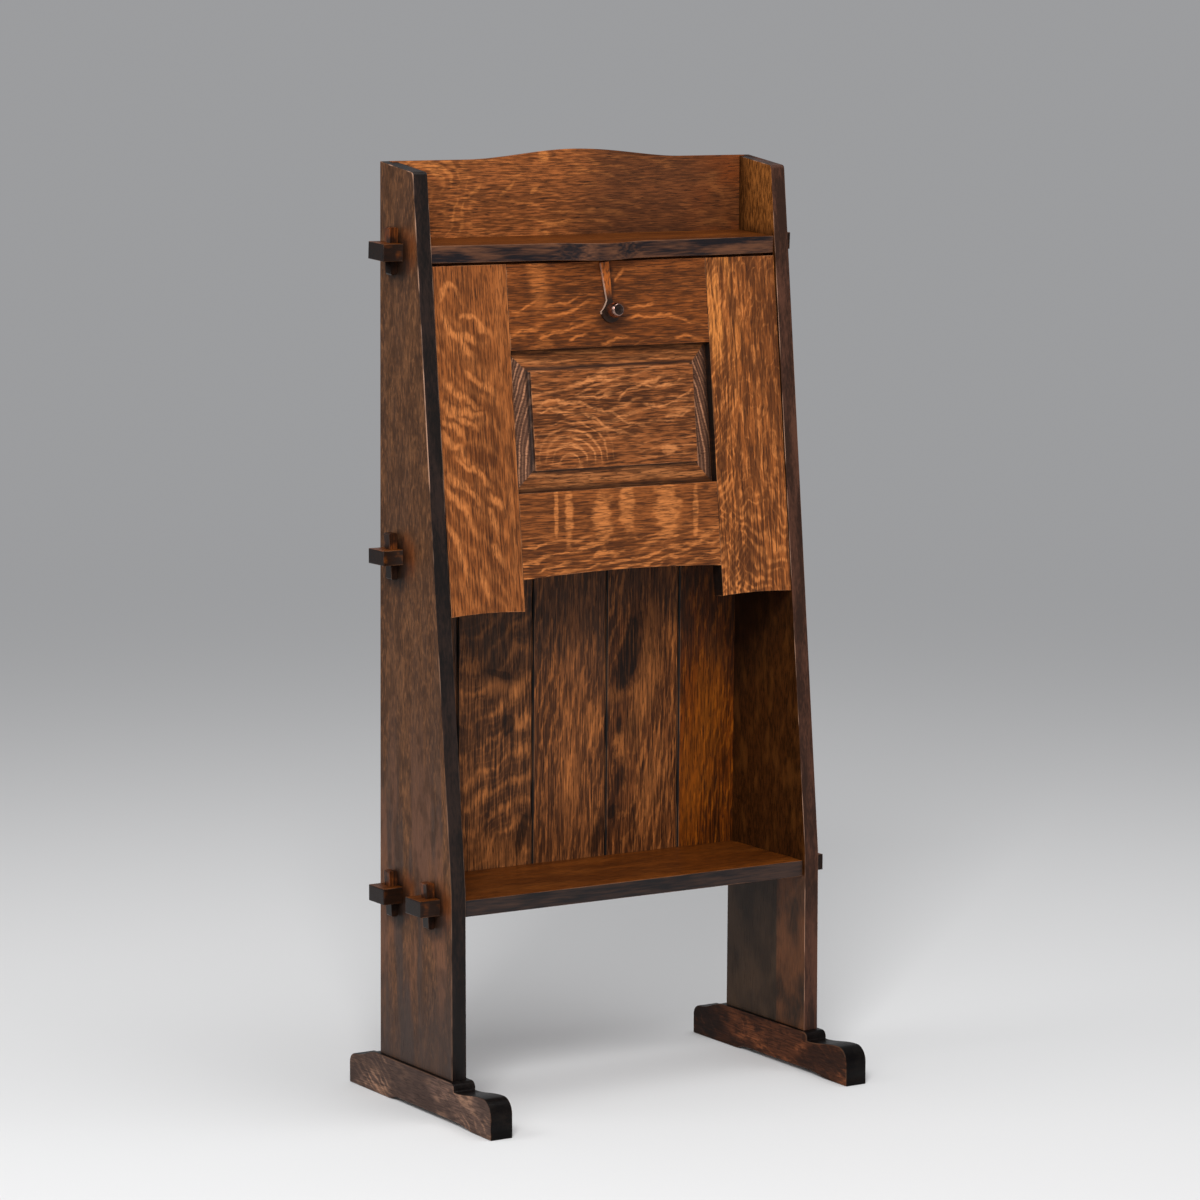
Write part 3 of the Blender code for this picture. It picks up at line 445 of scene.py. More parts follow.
for number, side in enumerate(("left", "right")):
    contrast = 0.8 - 0.2 * number
    wood = Oak(f"{side}_foot_oak", "YZX", FOOT_TONES[side], 1.0 + number, contrast, fibres=40.0)
    slant = (wood.u - wood.v * FOOT_RAY_LEAN) / FOOT_RAY_SPACING
    slant = slant + wood.noise((18.0, 22.0, 6.0), 2.0, 1.3) * 4.0
    shown = wood.flakes(slant, 0.12, 1.7, (26.0, 30.0, 10.0), 0.30, 5.0, 0.6)
    wood.show(shown * wood.patches((9.0, 14.0, 6.0), 0.47, 0.58, 8.0), 0.56)
    wood.show(wood.patches((20.0, 50.0, 20.0), 0.52, 0.68, 6.0), 0.42)
    wood.tint(wood.patches((8.0, 13.0, 5.0), 0.44, 0.58, 3.0) * 0.75, wood.dark)
    wood.tint(wood.patches((60.0, 110.0, 60.0), 0.53, 0.64, 4.0) * 0.55, wood.dark)
    heel = wood.step(wood.u + (wood.noise((14.0, 20.0, 8.0), 2.0, 2.0) - 0.5) * 0.16, *HEEL_FADE)
    wood.tint(heel * number * 0.75, BLACK_STAIN_PALE)
    foot_finish = wood.wax(
        BLACK_STAIN, BLACK_STAIN_PALE, RUBBED, gloss=0.26, pores=0.7, rub=0.14, shine=0.06,
    )
    dress(f"{side}_foot", "carcass", foot_finish, FOOT_ARRIS, rims, (("stain", foot_dark),))


# Slab sides: broad oak boards standing on the feet, their front edges sloped back and stained, with a rubbed
# pale arris each side. Cool and warm bands run up the legs, and wax, soil and painted shade darken the outer
# face around the through tenons. The inside kept its warmth, with painted shade high in the bay and at the rear
# of the gallery.
BOARD_ARRIS = 0.0009
SIDE_TONES = (srgb(60, 36, 19), srgb(95, 60, 35), srgb(134, 89, 55))
INNER_DARK = srgb(36, 17, 3)
INNER_MIDDLE = srgb(68, 35, 10)
INNER_PALE = srgb(98, 56, 20)
GALLERY_DARK = srgb(74, 40, 12)
GALLERY_PALE = srgb(146, 88, 38)
LEG_SOILED = srgb(39, 27, 18)
LEG_DULL = srgb(65, 47, 33)
LEG_WARM = srgb(101, 61, 36)
WARM_RUB = srgb(112, 56, 20)
EDGE_STAIN = {
    "left": (srgb(16, 14, 14), srgb(38, 28, 25)),
    "right": (srgb(44, 27, 20), srgb(82, 51, 38)),
}
EDGE_RUB = {"left": 0.22, "right": 0.70}
EDGE_RUB_HIGH = 0.75
SIDE_RUBBED = srgb(186, 142, 116)
TENONS = ("lower_shelf_front", "lower_shelf_rear", "desk_board_rear", "upper_shelf_rear")
# Dark brown for soil, and for painted shade in the bay, beside the tenons and along the crest's foot.
DIRT_AND_SHADE = srgb(20, 12, 8)
COOL_STRIP = srgb(60, 47, 42)
WARM_STRIP = srgb(118, 76, 52)
RUST_OFF = Vector((0.0, -0.030, 0.002))
RUST_HALF = (0.026, 0.020)
HALO_OFF = Vector((0.0, -0.008, -0.008))
HALO_HALF = (0.034, 0.029)
BANDS_FADE = (0.28, 0.55)
BASE_FADE = (0.07, 0.22)
BAY_SHADE = (0.46, 0.66)
BAY_TOP = (0.98, 1.0)
LINING_SHADE = (0.045, 0.095)
RUB_FADE = (0.45, 0.85)
SHELF_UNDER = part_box("lower_shelf")[0][2]
SHELF_HALF = 0.001
GALLERY_FADE = (1.05, 1.08)
FRONT_BOARD = 0.355
JOINT_HALF = 0.0005


def side_edge(face):
    """Whether a face is a side's front edge or top."""
    return face.normal.y < -0.4 or face.normal.z > 0.4


for number, side in enumerate(("left", "right")):
    inward = 1.0 if side == "left" else -1.0
    front, rear = (corner[1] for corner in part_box(f"{side}_side"))
    wood = Oak(f"{side}_side_oak", "ZYX", SIDE_TONES, 4.0 + number, 0.8, fibres=105.0, stripes=0.16)
    wood.show(wood.patches((14.0, 50.0, 12.0), 0.50, 0.66, 2.0), 0.30)
    wood.show(wood.patches((85.0, 260.0, 30.0), 0.53, 0.62, 3.5), 0.42)
    low_down = 1.0 - wood.step(wood.u, *BANDS_FADE)
    wood.tint(wood.patches((4.5, 36.0, 3.0), 0.45, 0.56, 6.0) * (0.15 + low_down * 0.60), COOL_STRIP)
    wood.tint(wood.patches((3.0, 24.0, 3.0), 0.50, 0.58, 8.5) * low_down * 0.55, WARM_STRIP)
    wood.tint(wood.patches((34.0, 62.0, 12.0), 0.50, 0.66, 7.0) * 0.60, wood.dark)
    wood.tint((1.0 - wood.step(wood.u + (wood.broad - 0.5) * 0.2, *BASE_FADE)) * 0.65, COOL_STRIP)
    inner = wood.mark("inner")
    inside = wood.mix(wood.body, INNER_DARK, INNER_MIDDLE)
    inside = wood.mix(wood.patches((22.0, 60.0, 12.0), 0.50, 0.70, 2.5) * 0.5, inside, INNER_PALE)
    # Painted shade on the inside face, darkest high and to the rear of the bay.
    in_bay = wood.step(wood.u + wood.v * 1.2, *BAY_SHADE) * (1.0 - wood.step(wood.u, *BAY_TOP))
    inside = wood.mix(in_bay * 0.7, inside, DIRT_AND_SHADE)
    lining = wood.mix(wood.body, GALLERY_DARK, GALLERY_PALE)
    lining = wood.mix(wood.step(wood.v, *LINING_SHADE), lining, INNER_DARK)
    inside = wood.mix(wood.step(wood.u, *GALLERY_FADE), inside, lining)
    joint_at = front + FRONT_BOARD * (rear - front)
    front_board = 1.0 - wood.step(wood.v, joint_at - JOINT_HALF, joint_at + JOINT_HALF)
    cloud = wood.patches((15.0, 22.0, 6.0), 0.34, 0.64, 1.7) * 0.75 + wood.body * 0.25
    leg = wood.mix(cloud, LEG_SOILED, wood.mix(front_board, LEG_DULL, LEG_WARM))
    above = wood.step(wood.u, SHELF_UNDER - SHELF_HALF, SHELF_UNDER + SHELF_HALF)
    inside = wood.mix(above, leg, inside)
    wood.tint(inner, inside)
    for tenon in TENONS:
        low, high = (Vector(corner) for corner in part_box(f"{side}_{tenon}_key"))
        middle = (low + high) / 2
        rust = wood.spot((middle + RUST_OFF).zy, RUST_HALF, 0.0, 0.25, middle.z + 0.4, 0.5)
        wood.tint(rust * (1.0 - inner) * 0.6, WARM_RUB)
        # Soil and painted shade beside and below each tenon.
        dirt_and_shade_spot = wood.spot((middle + HALO_OFF).zy, HALO_HALF, 0.0, 0.2, middle.z, 0.4)
        wood.tint(dirt_and_shade_spot * (1.0 - inner) * 0.9, DIRT_AND_SHADE)
    rubbed = EDGE_RUB[side] + wood.step(wood.u, *RUB_FADE) * (EDGE_RUB_HIGH - EDGE_RUB[side])
    side_finish = wood.wax(*EDGE_STAIN[side], SIDE_RUBBED, pores=0.5, rub=rubbed, shine=0.14)
    dress(f"{side}_side", "carcass", side_finish, BOARD_ARRIS, outermost, (
        ("stain", side_edge), ("inner", lambda face: face.normal.x * inward > 0.9),
    ))


# Cross boards: the level lower shelf and desk board and the tilted upper shelf, each with tenons through the
# sides. Tops are warm and waxed. The front edges and the tenon ends are stained, with brown patches bare.
TENON_ROUND = 0.0016
SHELF_TONES = (srgb(70, 33, 7), srgb(110, 56, 14), srgb(142, 79, 27))
SIDE_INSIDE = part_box("right_side")[0][0] + 0.001
SHELF_STAIN = {
    "lower_shelf": (srgb(26, 26, 28), srgb(60, 45, 39)),
    "desk_board": (srgb(26, 26, 28), srgb(60, 45, 39)),
    "upper_shelf": (srgb(22, 21, 25), srgb(102, 66, 46)),
}
SHELF_RUBBED = srgb(150, 104, 74)
END_SLATE = srgb(11, 13, 14)


def shelf_edge(face):
    """Whether a face is a board's front edge between the sides."""
    return face.normal.y < -0.5 and abs(face.calc_center_median().x) < SIDE_INSIDE


def tenon_front(face):
    """Whether a face is the front of a tenon, past the sides' insides."""
    return face.normal.y < -0.5 and abs(face.calc_center_median().x) > SIDE_INSIDE


def tenon_end(face):
    """Whether a face is the end of a tenon."""
    return abs(face.normal.x) > 0.9


def tenon_ends(shape):
    """The edges around the outer ends of the tenons."""
    reach = max(vertex.co.x for vertex in shape.verts)
    return [edge for edge in shape.edges if all(abs(abs(v.co.x) - reach) < MERGE for v in edge.verts)]


for number, board in enumerate(SHELF_STAIN):
    wood = Oak(f"{board}_oak", "XYZ", SHELF_TONES, 7.0 + number, 1.1, fibres=34.0)
    wood.show(wood.patches((6.0, 26.0, 6.0), 0.50, 0.66, 2.0), 0.40)
    wood.tint(wood.patches((9.0, 30.0, 6.0), 0.50, 0.66, 4.0) * 0.45, wood.dark)
    wood.tint(wood.patches((44.0, 330.0, 60.0), 0.53, 0.60, 8.0) * 0.45, wood.dark)
    wood.tint(wood.mark("tenon") * wood.patches((60.0, 60.0, 60.0), 0.16, 0.48, 3.0) * 0.94, DIRT_AND_SHADE)
    wood.tint(wood.mark("end") * (0.98 - wood.streaks * 0.08), END_SLATE)
    board_finish = wood.wax(*SHELF_STAIN[board], SHELF_RUBBED, gloss=0.30, rub=0.3, shine=0.16)
    dress(board, "carcass", board_finish, BOARD_ARRIS, crisp, (
        ("stain", shelf_edge), ("tenon", tenon_front), ("end", tenon_end),
    ), ((tenon_ends, TENON_ROUND),))


# Keys: small tapered oak wedges driven down through the tenon ends. Six are rounded around both ends, and the
# two that lean with the upper shelf along one edge of each end. Their heads are rubbed orange brown, and below
# the tenons they are nearly black with wax and soil.
KEY_ARRIS = 0.0006
KEY_END_BAND = 0.0008
KEY_ROUND_LOW = 0.0028
KEY_ROUND_HIGH = 0.0014
KEY_SOILED = 0.010
KEY_TONES = (srgb(52, 24, 8), srgb(116, 60, 24), srgb(140, 84, 44))


def lower_end(shape):
    """The edges around a key's lower end."""
    low = min(vertex.co.z for vertex in shape.verts)
    return [edge for edge in shape.edges if all(v.co.z < low + KEY_END_BAND for v in edge.verts)]


def upper_end(shape):
    """The edges around a key's upper end."""
    high = max(vertex.co.z for vertex in shape.verts)
    return [edge for edge in shape.edges if all(v.co.z > high - KEY_END_BAND for v in edge.verts)]


for side in ("left", "right"):
    for number, tenon in enumerate(TENONS):
        low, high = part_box(f"{side}_{tenon}_key")
        middle = (low[2] + high[2]) / 2
        wood = Oak(f"{side}_{tenon}_key_oak", "ZYX", KEY_TONES, 31.0 + number)
        wood.tint(wood.patches((50.0, 60.0, 60.0), 0.38, 0.60, 3.0) * 0.85, DIRT_AND_SHADE)
        below = 1.0 - wood.step(wood.u, middle - KEY_SOILED, middle + KEY_SOILED)
        wood.tint(below * 0.92, DIRT_AND_SHADE)
        key_finish = wood.wax(BLACK_STAIN, BLACK_STAIN_PALE, RUBBED, gloss=0.32, pores=0.6, rub=0.2)
        dress(f"{side}_{tenon}_key", "carcass", key_finish, KEY_ARRIS, crisp, (), (
            (lower_end, KEY_ROUND_LOW), (upper_end, KEY_ROUND_HIGH),
        ))


# Back: five upright boards, tongued together with a vee at each joint, let into the sides and nailed to the
# cross boards. The wood is duller than the front and painted shade darkens it towards the top; its pale patches
# are partly figure and partly painted light. The second board has level rays, and three boards have knots, with
# the grain flowing round them.
BACK_ARRIS = 0.0005
BACK_TONES = {
    1: (srgb(60, 34, 17), srgb(124, 73, 37), srgb(172, 104, 54)),
    2: (srgb(52, 29, 15), srgb(138, 83, 44), srgb(206, 126, 66)),
    3: (srgb(64, 35, 17), srgb(156, 92, 47), srgb(200, 120, 60)),
    4: (srgb(50, 25, 10), srgb(138, 78, 36), srgb(200, 121, 60)),
    5: (srgb(46, 18, 0), srgb(116, 54, 3), srgb(172, 92, 15)),
}
BACK_SHADE = srgb(45, 38, 34)
BACK_RUBBED = srgb(150, 98, 62)
SHADE_LOW = 0.46
SHADE_HIGH = 0.60
SHADE_LIFT = {4: 0.06}
LEVEL_RAY_SPACING = 0.038
LEVEL_RAY_BOW = -0.11
UPRIGHT_RAY_SPACING = 0.011
UPRIGHT_RAY_LEAN = 0.16
BEND_PULL = 1.3
BEND_STRETCH = 0.40
KNOT_DARK = srgb(14, 7, 4)
KNOT_SPREAD = 1.3
KNOT_RIM = 0.004
KNOTS = {
    2: (((0.451, -0.091), (0.014, 0.011), 0.3, 0.75), ((0.516, -0.103), (0.005, 0.022), 0.3, 0.55),
        ((0.312, -0.069), (0.030, 0.007), 0.25, 0.75)),
    3: (((0.294, 0.040), (0.026, 0.010), 0.3, 0.6),),
    4: (((0.526, 0.087), (0.052, 0.016), 0.25, 0.9), ((0.437, 0.073), (0.012, 0.004), 0.0, 0.8),
        ((0.436, 0.095), (0.019, 0.005), -0.1, 0.5), ((0.366, 0.074), (0.020, 0.008), 0.3, 0.55),
        ((0.327, 0.065), (0.010, 0.006), 0.4, 0.8), ((0.316, 0.094), (0.016, 0.004), -0.2, 0.6)),
}
BENDS = {
    3: ((0.294, 0.044, 0.012),),
    4: ((0.526, 0.089, 0.016), (0.436, 0.083, 0.014), (0.338, 0.076, 0.015)),
}
FIGURE_AND_LIGHT_PATCHES = {
    2: (((0.500, -0.095), (0.008, 0.028), 0.25), ((0.290, -0.110), (0.022, 0.030), 0.0)),
    3: (((0.446, 0.034), (0.028, 0.014), 0.1), ((0.371, 0.002), (0.045, 0.012), 0.0)),
    4: (((0.470, 0.110), (0.060, 0.014), 0.35), ((0.350, 0.120), (0.050, 0.012), 0.2),
        ((0.540, 0.116), (0.050, 0.010), 0.2), ((0.478, 0.070), (0.010, 0.014), 0.0)),
    5: (((0.430, 0.205), (0.090, 0.024), 0.1), ((0.340, 0.180), (0.060, 0.016), 0.0)),
}
SEAMS = [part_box(f"back_board_{number}")[0][0] for number in range(2, 6)]
SEAM_INSIDE = 0.0012
SEAM_OUTSIDE = 0.0030


def vee(face):
    """Whether a face is a flank of the vee at a joint."""
    return face.normal.y < -0.2 and abs(face.normal.x) > 0.3


for number, tones in BACK_TONES.items():
    wood = Oak(f"back_board_{number}_oak", "ZXY", tones, 13.0 + number, 1.05, fibres=26.0)
    if number == 2:
        over = wood.v - LEVEL_RAY_BOW
        bent = over * over * 90.0 + wood.v * 5.0
        level = wood.u / LEVEL_RAY_SPACING - bent + wood.noise((6.0, 10.0, 2.0), 2.0, 1.0) * 4.0
        wood.show(wood.flakes(level, 0.22, 1.7, (14.0, 18.0, 2.0), 0.30, 3.0, 0.5), 0.64)
        wood.show(wood.flakes(level * 3.0, 0.20, 1.8, (30.0, 34.0, 2.0), 0.26, 4.0, 0.8), 0.18)
    else:
        upright = wood.v - wood.u * UPRIGHT_RAY_LEAN
        for height, across, wide in BENDS.get(number, ()):
            along = (wood.u - height) * BEND_STRETCH
            over = wood.v - across
            far = along * along + over * over + wide * wide
            upright = upright - over * (BEND_PULL * wide * wide) / far
        upright = upright / UPRIGHT_RAY_SPACING + wood.noise((6.0, 11.0, 2.0), 2.0, 1.0) * 4.5
        wood.show(wood.flakes(upright, 0.20, 1.8, (26.0, 48.0, 2.0), 0.28, 3.0, 0.9), 0.56)
    wood.tint(wood.patches((9.0, 20.0, 3.0), 0.46, 0.64, 5.0) * 0.28, wood.dark)
    wood.tint(wood.patches((24.0, 70.0, 3.0), 0.48, 0.62, 7.0) * 0.38, wood.dark)
    wood.tint(wood.patches((26.0, 430.0, 20.0), 0.52, 0.59, 6.0) * 0.66, wood.dark)
    # Pale patches, partly the wood's figure and partly painted pools of light.
    for index, (centre, half, turn) in enumerate(FIGURE_AND_LIGHT_PATCHES.get(number, ())):
        wood.show(wood.spot(centre, half, turn, 0.2, index + 5.0, 0.75), 0.30)
    lift = SHADE_LIFT.get(number, 0.0)
    # Painted shade, darker towards the top of the boards.
    painted_shade = wood.u + (wood.noise((6.0, 14.0, 2.0), 2.0, 8.0) - 0.5) * 0.22
    painted_shade = wood.step(painted_shade, SHADE_LOW + lift, SHADE_HIGH + lift)
    wood.tint(painted_shade * 0.50, BACK_SHADE)
    for index, (centre, half, turn, share) in enumerate(KNOTS.get(number, ())):
        wider = tuple(size * KNOT_SPREAD + KNOT_RIM for size in half)
        around = wood.spot(centre, wider, turn, 0.15, index + 0.2, 0.6)
        wood.tint(around * share * 0.45, wood.dark)
        fibrous = 1.0 - wood.step(wood.streaks, 0.50, 0.64) * 0.35
        wood.tint(wood.spot(centre, half, turn, 0.25, index, 0.20) * fibrous * share, KNOT_DARK)
    for seam in SEAMS[max(number - 2, 0):number]:
        wood.tint((1.0 - wood.step((wood.v - seam).size(), SEAM_INSIDE, SEAM_OUTSIDE)) * 0.9, DIRT_AND_SHADE)
    back_finish = wood.wax(BLACK_STAIN, BLACK_STAIN_PALE, BACK_RUBBED, gloss=0.46)
    dress(f"back_board_{number}", "carcass", back_finish, BACK_ARRIS, crisp, (("stain", vee),))


# Crest: one level board above the back boards, its top sawn to a low ogee arch. Its grain runs across, with a
# swirl at the left end and a redder right end, which painted shade darkens, most along its bottom above the shelf.
# The stop strip under the upper shelf, which the fall leans on, is plain.
CREST_TONES = (srgb(94, 51, 22), srgb(164, 93, 45), srgb(216, 132, 66))
CREST_RAYS = (
    (-0.150, 1.111, 0.60, 12.0, 0.020), (-0.106, 1.113, 0.35, 16.0, 0.024), (-0.062, 1.116, 0.5, 0.0, 0.014),
)
CREST_SHADE = srgb(62, 34, 19)
CREST_RED = srgb(122, 60, 24)
CREST_RUBBED = srgb(170, 108, 62)
SWIRL_AT = (-0.226, 1.1146)
SWIRL_SPACING = 0.0125
SWIRL_FADE = (0.040, 0.105)
EYE_OFF = 0.004
EYE_HALF = (0.006, 0.017)
FLECK_SPACING = 0.024
PALE_FLECK = ((-0.043, 1.161), (0.008, 0.009))
CREST_RAY_HALF = 0.0028
CREST_RAY_WAVER = 0.018
CREST_SHADE_FADE = (-0.02, 0.07)
RED_FADE = (0.15, 0.24)
LOW_EDGE_FADE = (1.064, 1.082)
STOP_ARRIS = 0.0008


def faces_front(face):
    """Whether a face looks to the front."""
    return face.normal.y < -0.5


wood = Oak("crest_oak", "XZY", CREST_TONES, 19.0, fibres=42.0)
front_face = wood.mark("front")
swirl = wood.rings(SWIRL_AT, SWIRL_SPACING, 3.0, (15.0, 22.0, 4.0))
near = (1.0 - wood.step((wood.u - SWIRL_AT[0]).size(), *SWIRL_FADE)) * front_face
broken = 0.25 + wood.patches((16.0, 34.0, 4.0), 0.42, 0.58, 11.0) * 0.75
wood.show(wood.flakes(swirl, 0.24, 1.6, (26.0, 30.0, 4.0), 0.30, 0.0, 0.6) * near * broken, 0.56)
eye = wood.spot((SWIRL_AT[0] + EYE_OFF, SWIRL_AT[1]), EYE_HALF, 0.0, 0.3, 8.0, 0.6)
wood.show(eye * front_face, 0.45)
flecks = (wood.v + wood.u * 0.3) / FLECK_SPACING + wood.noise((6.0, 18.0, 4.0), 2.0, 2.0) * 6.0
wood.show(wood.flakes(flecks, 0.10, 1.9, (16.0, 34.0, 4.0), 0.34, 6.0, 0.4), 0.42)
wood.show(wood.spot(*PALE_FLECK, 0.0, 0.3, 1.0), 0.6)
wood.show(wood.strokes(wood.u, wood.v, CREST_RAYS, CREST_RAY_HALF, CREST_RAY_WAVER), 0.55)
wood.tint(wood.patches((50.0, 430.0, 40.0), 0.53, 0.60, 9.9) * 0.55, wood.dark)
# Painted shade over the right end of the crest, and along its bottom where it meets the shelf.
shaded_end = wood.u + (wood.noise((9.0, 9.0, 2.0), 2.0, 4.0) - 0.5) * 0.10
shaded_end = wood.step(shaded_end, *CREST_SHADE_FADE)
wood.tint((1.0 - wood.step(wood.v, *LOW_EDGE_FADE)) * shaded_end * 0.5, DIRT_AND_SHADE)
wood.tint(shaded_end * 0.62, CREST_SHADE)
reddened = wood.step(wood.u, *RED_FADE) * wood.patches((14.0, 30.0, 3.0), 0.42, 0.60, 7.0)
wood.tint(reddened * 0.6, CREST_RED)
crest_finish = wood.wax(BLACK_STAIN, BLACK_STAIN_PALE, CREST_RUBBED, pores=1.2)
dress("crest_board", "carcass", crest_finish, BOARD_ARRIS, outermost, (("front", faces_front),))

wood = Oak("door_stop_oak", "XYZ", SHELF_TONES, 20.0)
dress("door_stop", "carcass", wood.wax(BLACK_STAIN, BLACK_STAIN_PALE, RUBBED), STOP_ARRIS)


# Fall frame: stiles and rails of the best quarter-sawn oak, mortised together flush and hung on two pins.
# Stiles run upright past the bottom rail, rails level between them, and each shows its own rays. Heights on
# the fall are counted up its face from the pins.
fall_joint, latch_joint = frame["joints"]
latch_out = Vector(latch_joint["axis"])
FALL_LEAN = math.atan2(latch_out.z, -latch_out.y)
FALL_TONES = (srgb(80, 41, 15), srgb(142, 79, 35), srgb(194, 117, 60))
on_fall = {"origin": tuple(fall_joint["pos_m"]), "lean": -FALL_LEAN}
FALL_RUBBED = srgb(200, 134, 88)
FALL_DASHES = 0.60
FRAME_ARRIS = 0.0005
unlean = Matrix.Rotation(FALL_LEAN, 3, "X")


def fall_wax(wood, dashes=FALL_DASHES):
    """End a finish of the fall: fine dark dashes along the grain, then wax."""
    wood.tint(wood.patches((52.0, 480.0, 60.0), 0.54, 0.61, 9.9) * dashes, wood.dark)
    return wood.wax(BLACK_STAIN, BLACK_STAIN_PALE, FALL_RUBBED)


def frame_edge(face):
    """Whether a face is an edge of the frame, not its front or rear."""
    return abs((unlean @ face.normal).y) < 0.5


def hang(node, wood):
    """Wax a stile or rail and put it on the fall."""
    dress(node, "fall", fall_wax(wood), FRAME_ARRIS, crisp, (("stain", frame_edge),))


LEFT_RAYS = (
    (-0.2402, 0.3347, 1.60, -48.5, 0.0340), (-0.2147, 0.3192, -0.32, -7.6, 0.0496),
    (-0.2390, 0.3143, -1.37, 5.6, 0.0506), (-0.2122, 0.2864, 0.34, -17.8, 0.0227),
    (-0.2103, 0.2465, -0.51, -2.9, 0.0485), (-0.2425, 0.2402, -1.11, 8.2, 0.0569),
    (-0.2446, 0.2083, -0.28, 0.0, 0.0672), (-0.2459, 0.2100, -0.75, 1.3, 0.0597),
    (-0.2463, 0.1882, -0.23, -11.9, 0.0351), (-0.2475, 0.1683, -0.06, -19.4, 0.0422),
    (-0.2309, 0.1444, -0.62, -2.0, 0.0568), (-0.2444, 0.1227, -0.43, -7.6, 0.0561),
    (-0.1883, 0.0753, -0.60, -110.0, 0.0151), (-0.2458, 0.1011, -0.18, -26.4, 0.0431),
    (-0.2462, 0.0629, -0.90, -60.0, 0.0293), (-0.1848, 0.0343, -1.18, -21.7, 0.0169),
    (-0.1849, 0.0965, -0.58, -6.7, 0.0236), (-0.2050, 0.0020, -1.60, -40.0, 0.0140),
)
LEFT_RAY_HALF = 0.0042
LEFT_RAY_WAVER = 0.030
STRIPES_AT = (0.17, -0.195)
STRIPE_SPACING = 0.0290
STRIPE_TOP = (0.29, 0.34)
STRIPE_SIDE = (-0.172, -0.150)
BY_EDGE = (-0.170, -0.150)
wood = Oak("left_stile_oak", "ZXY", FALL_TONES, 21.0, fibres=30.0, **on_fall)
over = wood.v - STRIPES_AT[1]
down = STRIPES_AT[0] - wood.u
stripes = (wood.u + over * (0.75 + down * 1.5) + down * over * over * 45.0) / STRIPE_SPACING
stripes = stripes + wood.noise((7.0, 12.0, 3.0), 2.0) * 3.6 + wood.noise((30.0, 44.0, 3.0), 2.0, 5.0) * 0.9
shown = (1.0 - wood.step(wood.u, *STRIPE_TOP) * 0.8) * (1.0 - wood.step(wood.v, *STRIPE_SIDE) * 0.6)
wood.show(wood.flakes(stripes, 0.30, 1.3, (11.0, 18.0, 3.0), 0.44, 2.0, 0.3) * shown, 0.32)
by_edge = wood.step(wood.v, *BY_EDGE) * wood.patches((8.0, 120.0, 6.0), 0.48, 0.60, 4.0)
wood.show(by_edge, 0.40)
wood.show(wood.strokes(wood.v, wood.u, LEFT_RAYS, LEFT_RAY_HALF, LEFT_RAY_WAVER), 0.92)
hang("left_stile", wood)

RIGHT_TONES = (srgb(78, 40, 15), srgb(152, 85, 37), srgb(206, 125, 63))
GOLDEN = srgb(214, 132, 62)
GOLDEN_UP = (0.20, 0.30)
GOLDEN_SIDE = (0.165, 0.200)
UPRIGHT_AT = (0.12, 0.75)
UPRIGHT_SPACING = 0.0100
SLANT_SPACING = 0.0165
FLECKED_SPACING = 0.0115
LOW_PART = (0.05, 0.14)
BY_JOINT = (0.160, 0.190)
SHADED_SIDE = (0.19, 0.24)
SHADED_UP = (0.10, 0.25)
wood = Oak("right_stile_oak", "ZXY", RIGHT_TONES, 22.0, 1.25, fibres=28.0, **on_fall)
upright = wood.rings(UPRIGHT_AT, UPRIGHT_SPACING, 6.5, (16.0, 34.0, 3.0))
low_part = 1.0 - wood.step(wood.u + (wood.broad - 0.5) * 0.12, *LOW_PART)
upright = wood.flakes(upright, 0.20, 2.2, (42.0, 95.0, 3.0), 0.24, 2.0, 1.0)
wood.show(upright * (1.0 - low_part * 0.8), 0.75)
slanting = (wood.u + wood.v * 0.7) / SLANT_SPACING + wood.noise((13.0, 22.0, 3.0), 2.0, 5.0) * 7.0
wood.show(wood.flakes(slanting, 0.26, 1.6, (20.0, 30.0, 3.0), 0.30, 6.0, 0.4) * low_part, 0.80)
flecked = (wood.u - wood.v * 1.1) / FLECKED_SPACING + wood.noise((12.0, 26.0, 3.0), 2.0, 7.0) * 5.0
by_joint = 1.0 - wood.step(wood.v + (wood.broad - 0.5) * 0.05, *BY_JOINT)
wood.show(wood.flakes(flecked, 0.24, 1.8, (24.0, 34.0, 3.0), 0.30, 9.0, 0.4) * by_joint, 0.80)
golden = wood.step(wood.u, *GOLDEN_UP) * (1.0 - wood.step(wood.v, *GOLDEN_SIDE))
wood.tint(golden * wood.patches((10.0, 60.0, 3.0), 0.40, 0.60, 4.0) * 0.80, GOLDEN)
wood.tint(wood.patches((16.0, 150.0, 10.0), 0.48, 0.57, 8.0) * 0.72, wood.dark)
wood.tint(wood.patches((30.0, 60.0, 10.0), 0.50, 0.64, 6.0) * 0.20, wood.dark)
wood.tint(wood.step(wood.v, *SHADED_SIDE) * wood.step(wood.u, *SHADED_UP) * 0.42, wood.dark)
hang("right_stile", wood)

RAIL_TONES = (srgb(72, 36, 11), srgb(130, 68, 25), srgb(196, 113, 53))
LATCH_SHADOW = srgb(40, 22, 12)
RAIL_RAYS = (
    (-0.0924, 0.3211, -0.02, 5.6, 0.0535), (-0.0964, 0.3085, 0.03, 3.3, 0.0786),
    (-0.1416, 0.2885, 0.31, -2.6, 0.0460), (-0.1063, 0.2825, 0.24, -0.2, 0.0905),
    (-0.0607, 0.2799, 0.40, -7.8, 0.0300), (-0.0148, 0.2753, 0.14, -0.5, 0.0436),
    (0.0260, 0.3147, 0.06, 2.7, 0.0465), (0.0219, 0.3017, 0.17, -2.2, 0.1206),
    (-0.1413, 0.3175, -0.10, 11.8, 0.0445), (0.0089, 0.3498, 0.99, -2.7, 0.0170),
    (0.0925, 0.2776, 0.08, -5.7, 0.0370),
)
RAIL_RAY_HALF = 0.0019
RAIL_RAY_WAVER = 0.016
RAIL_BAR = ((-0.100, 0.352), (0.012, 0.032))
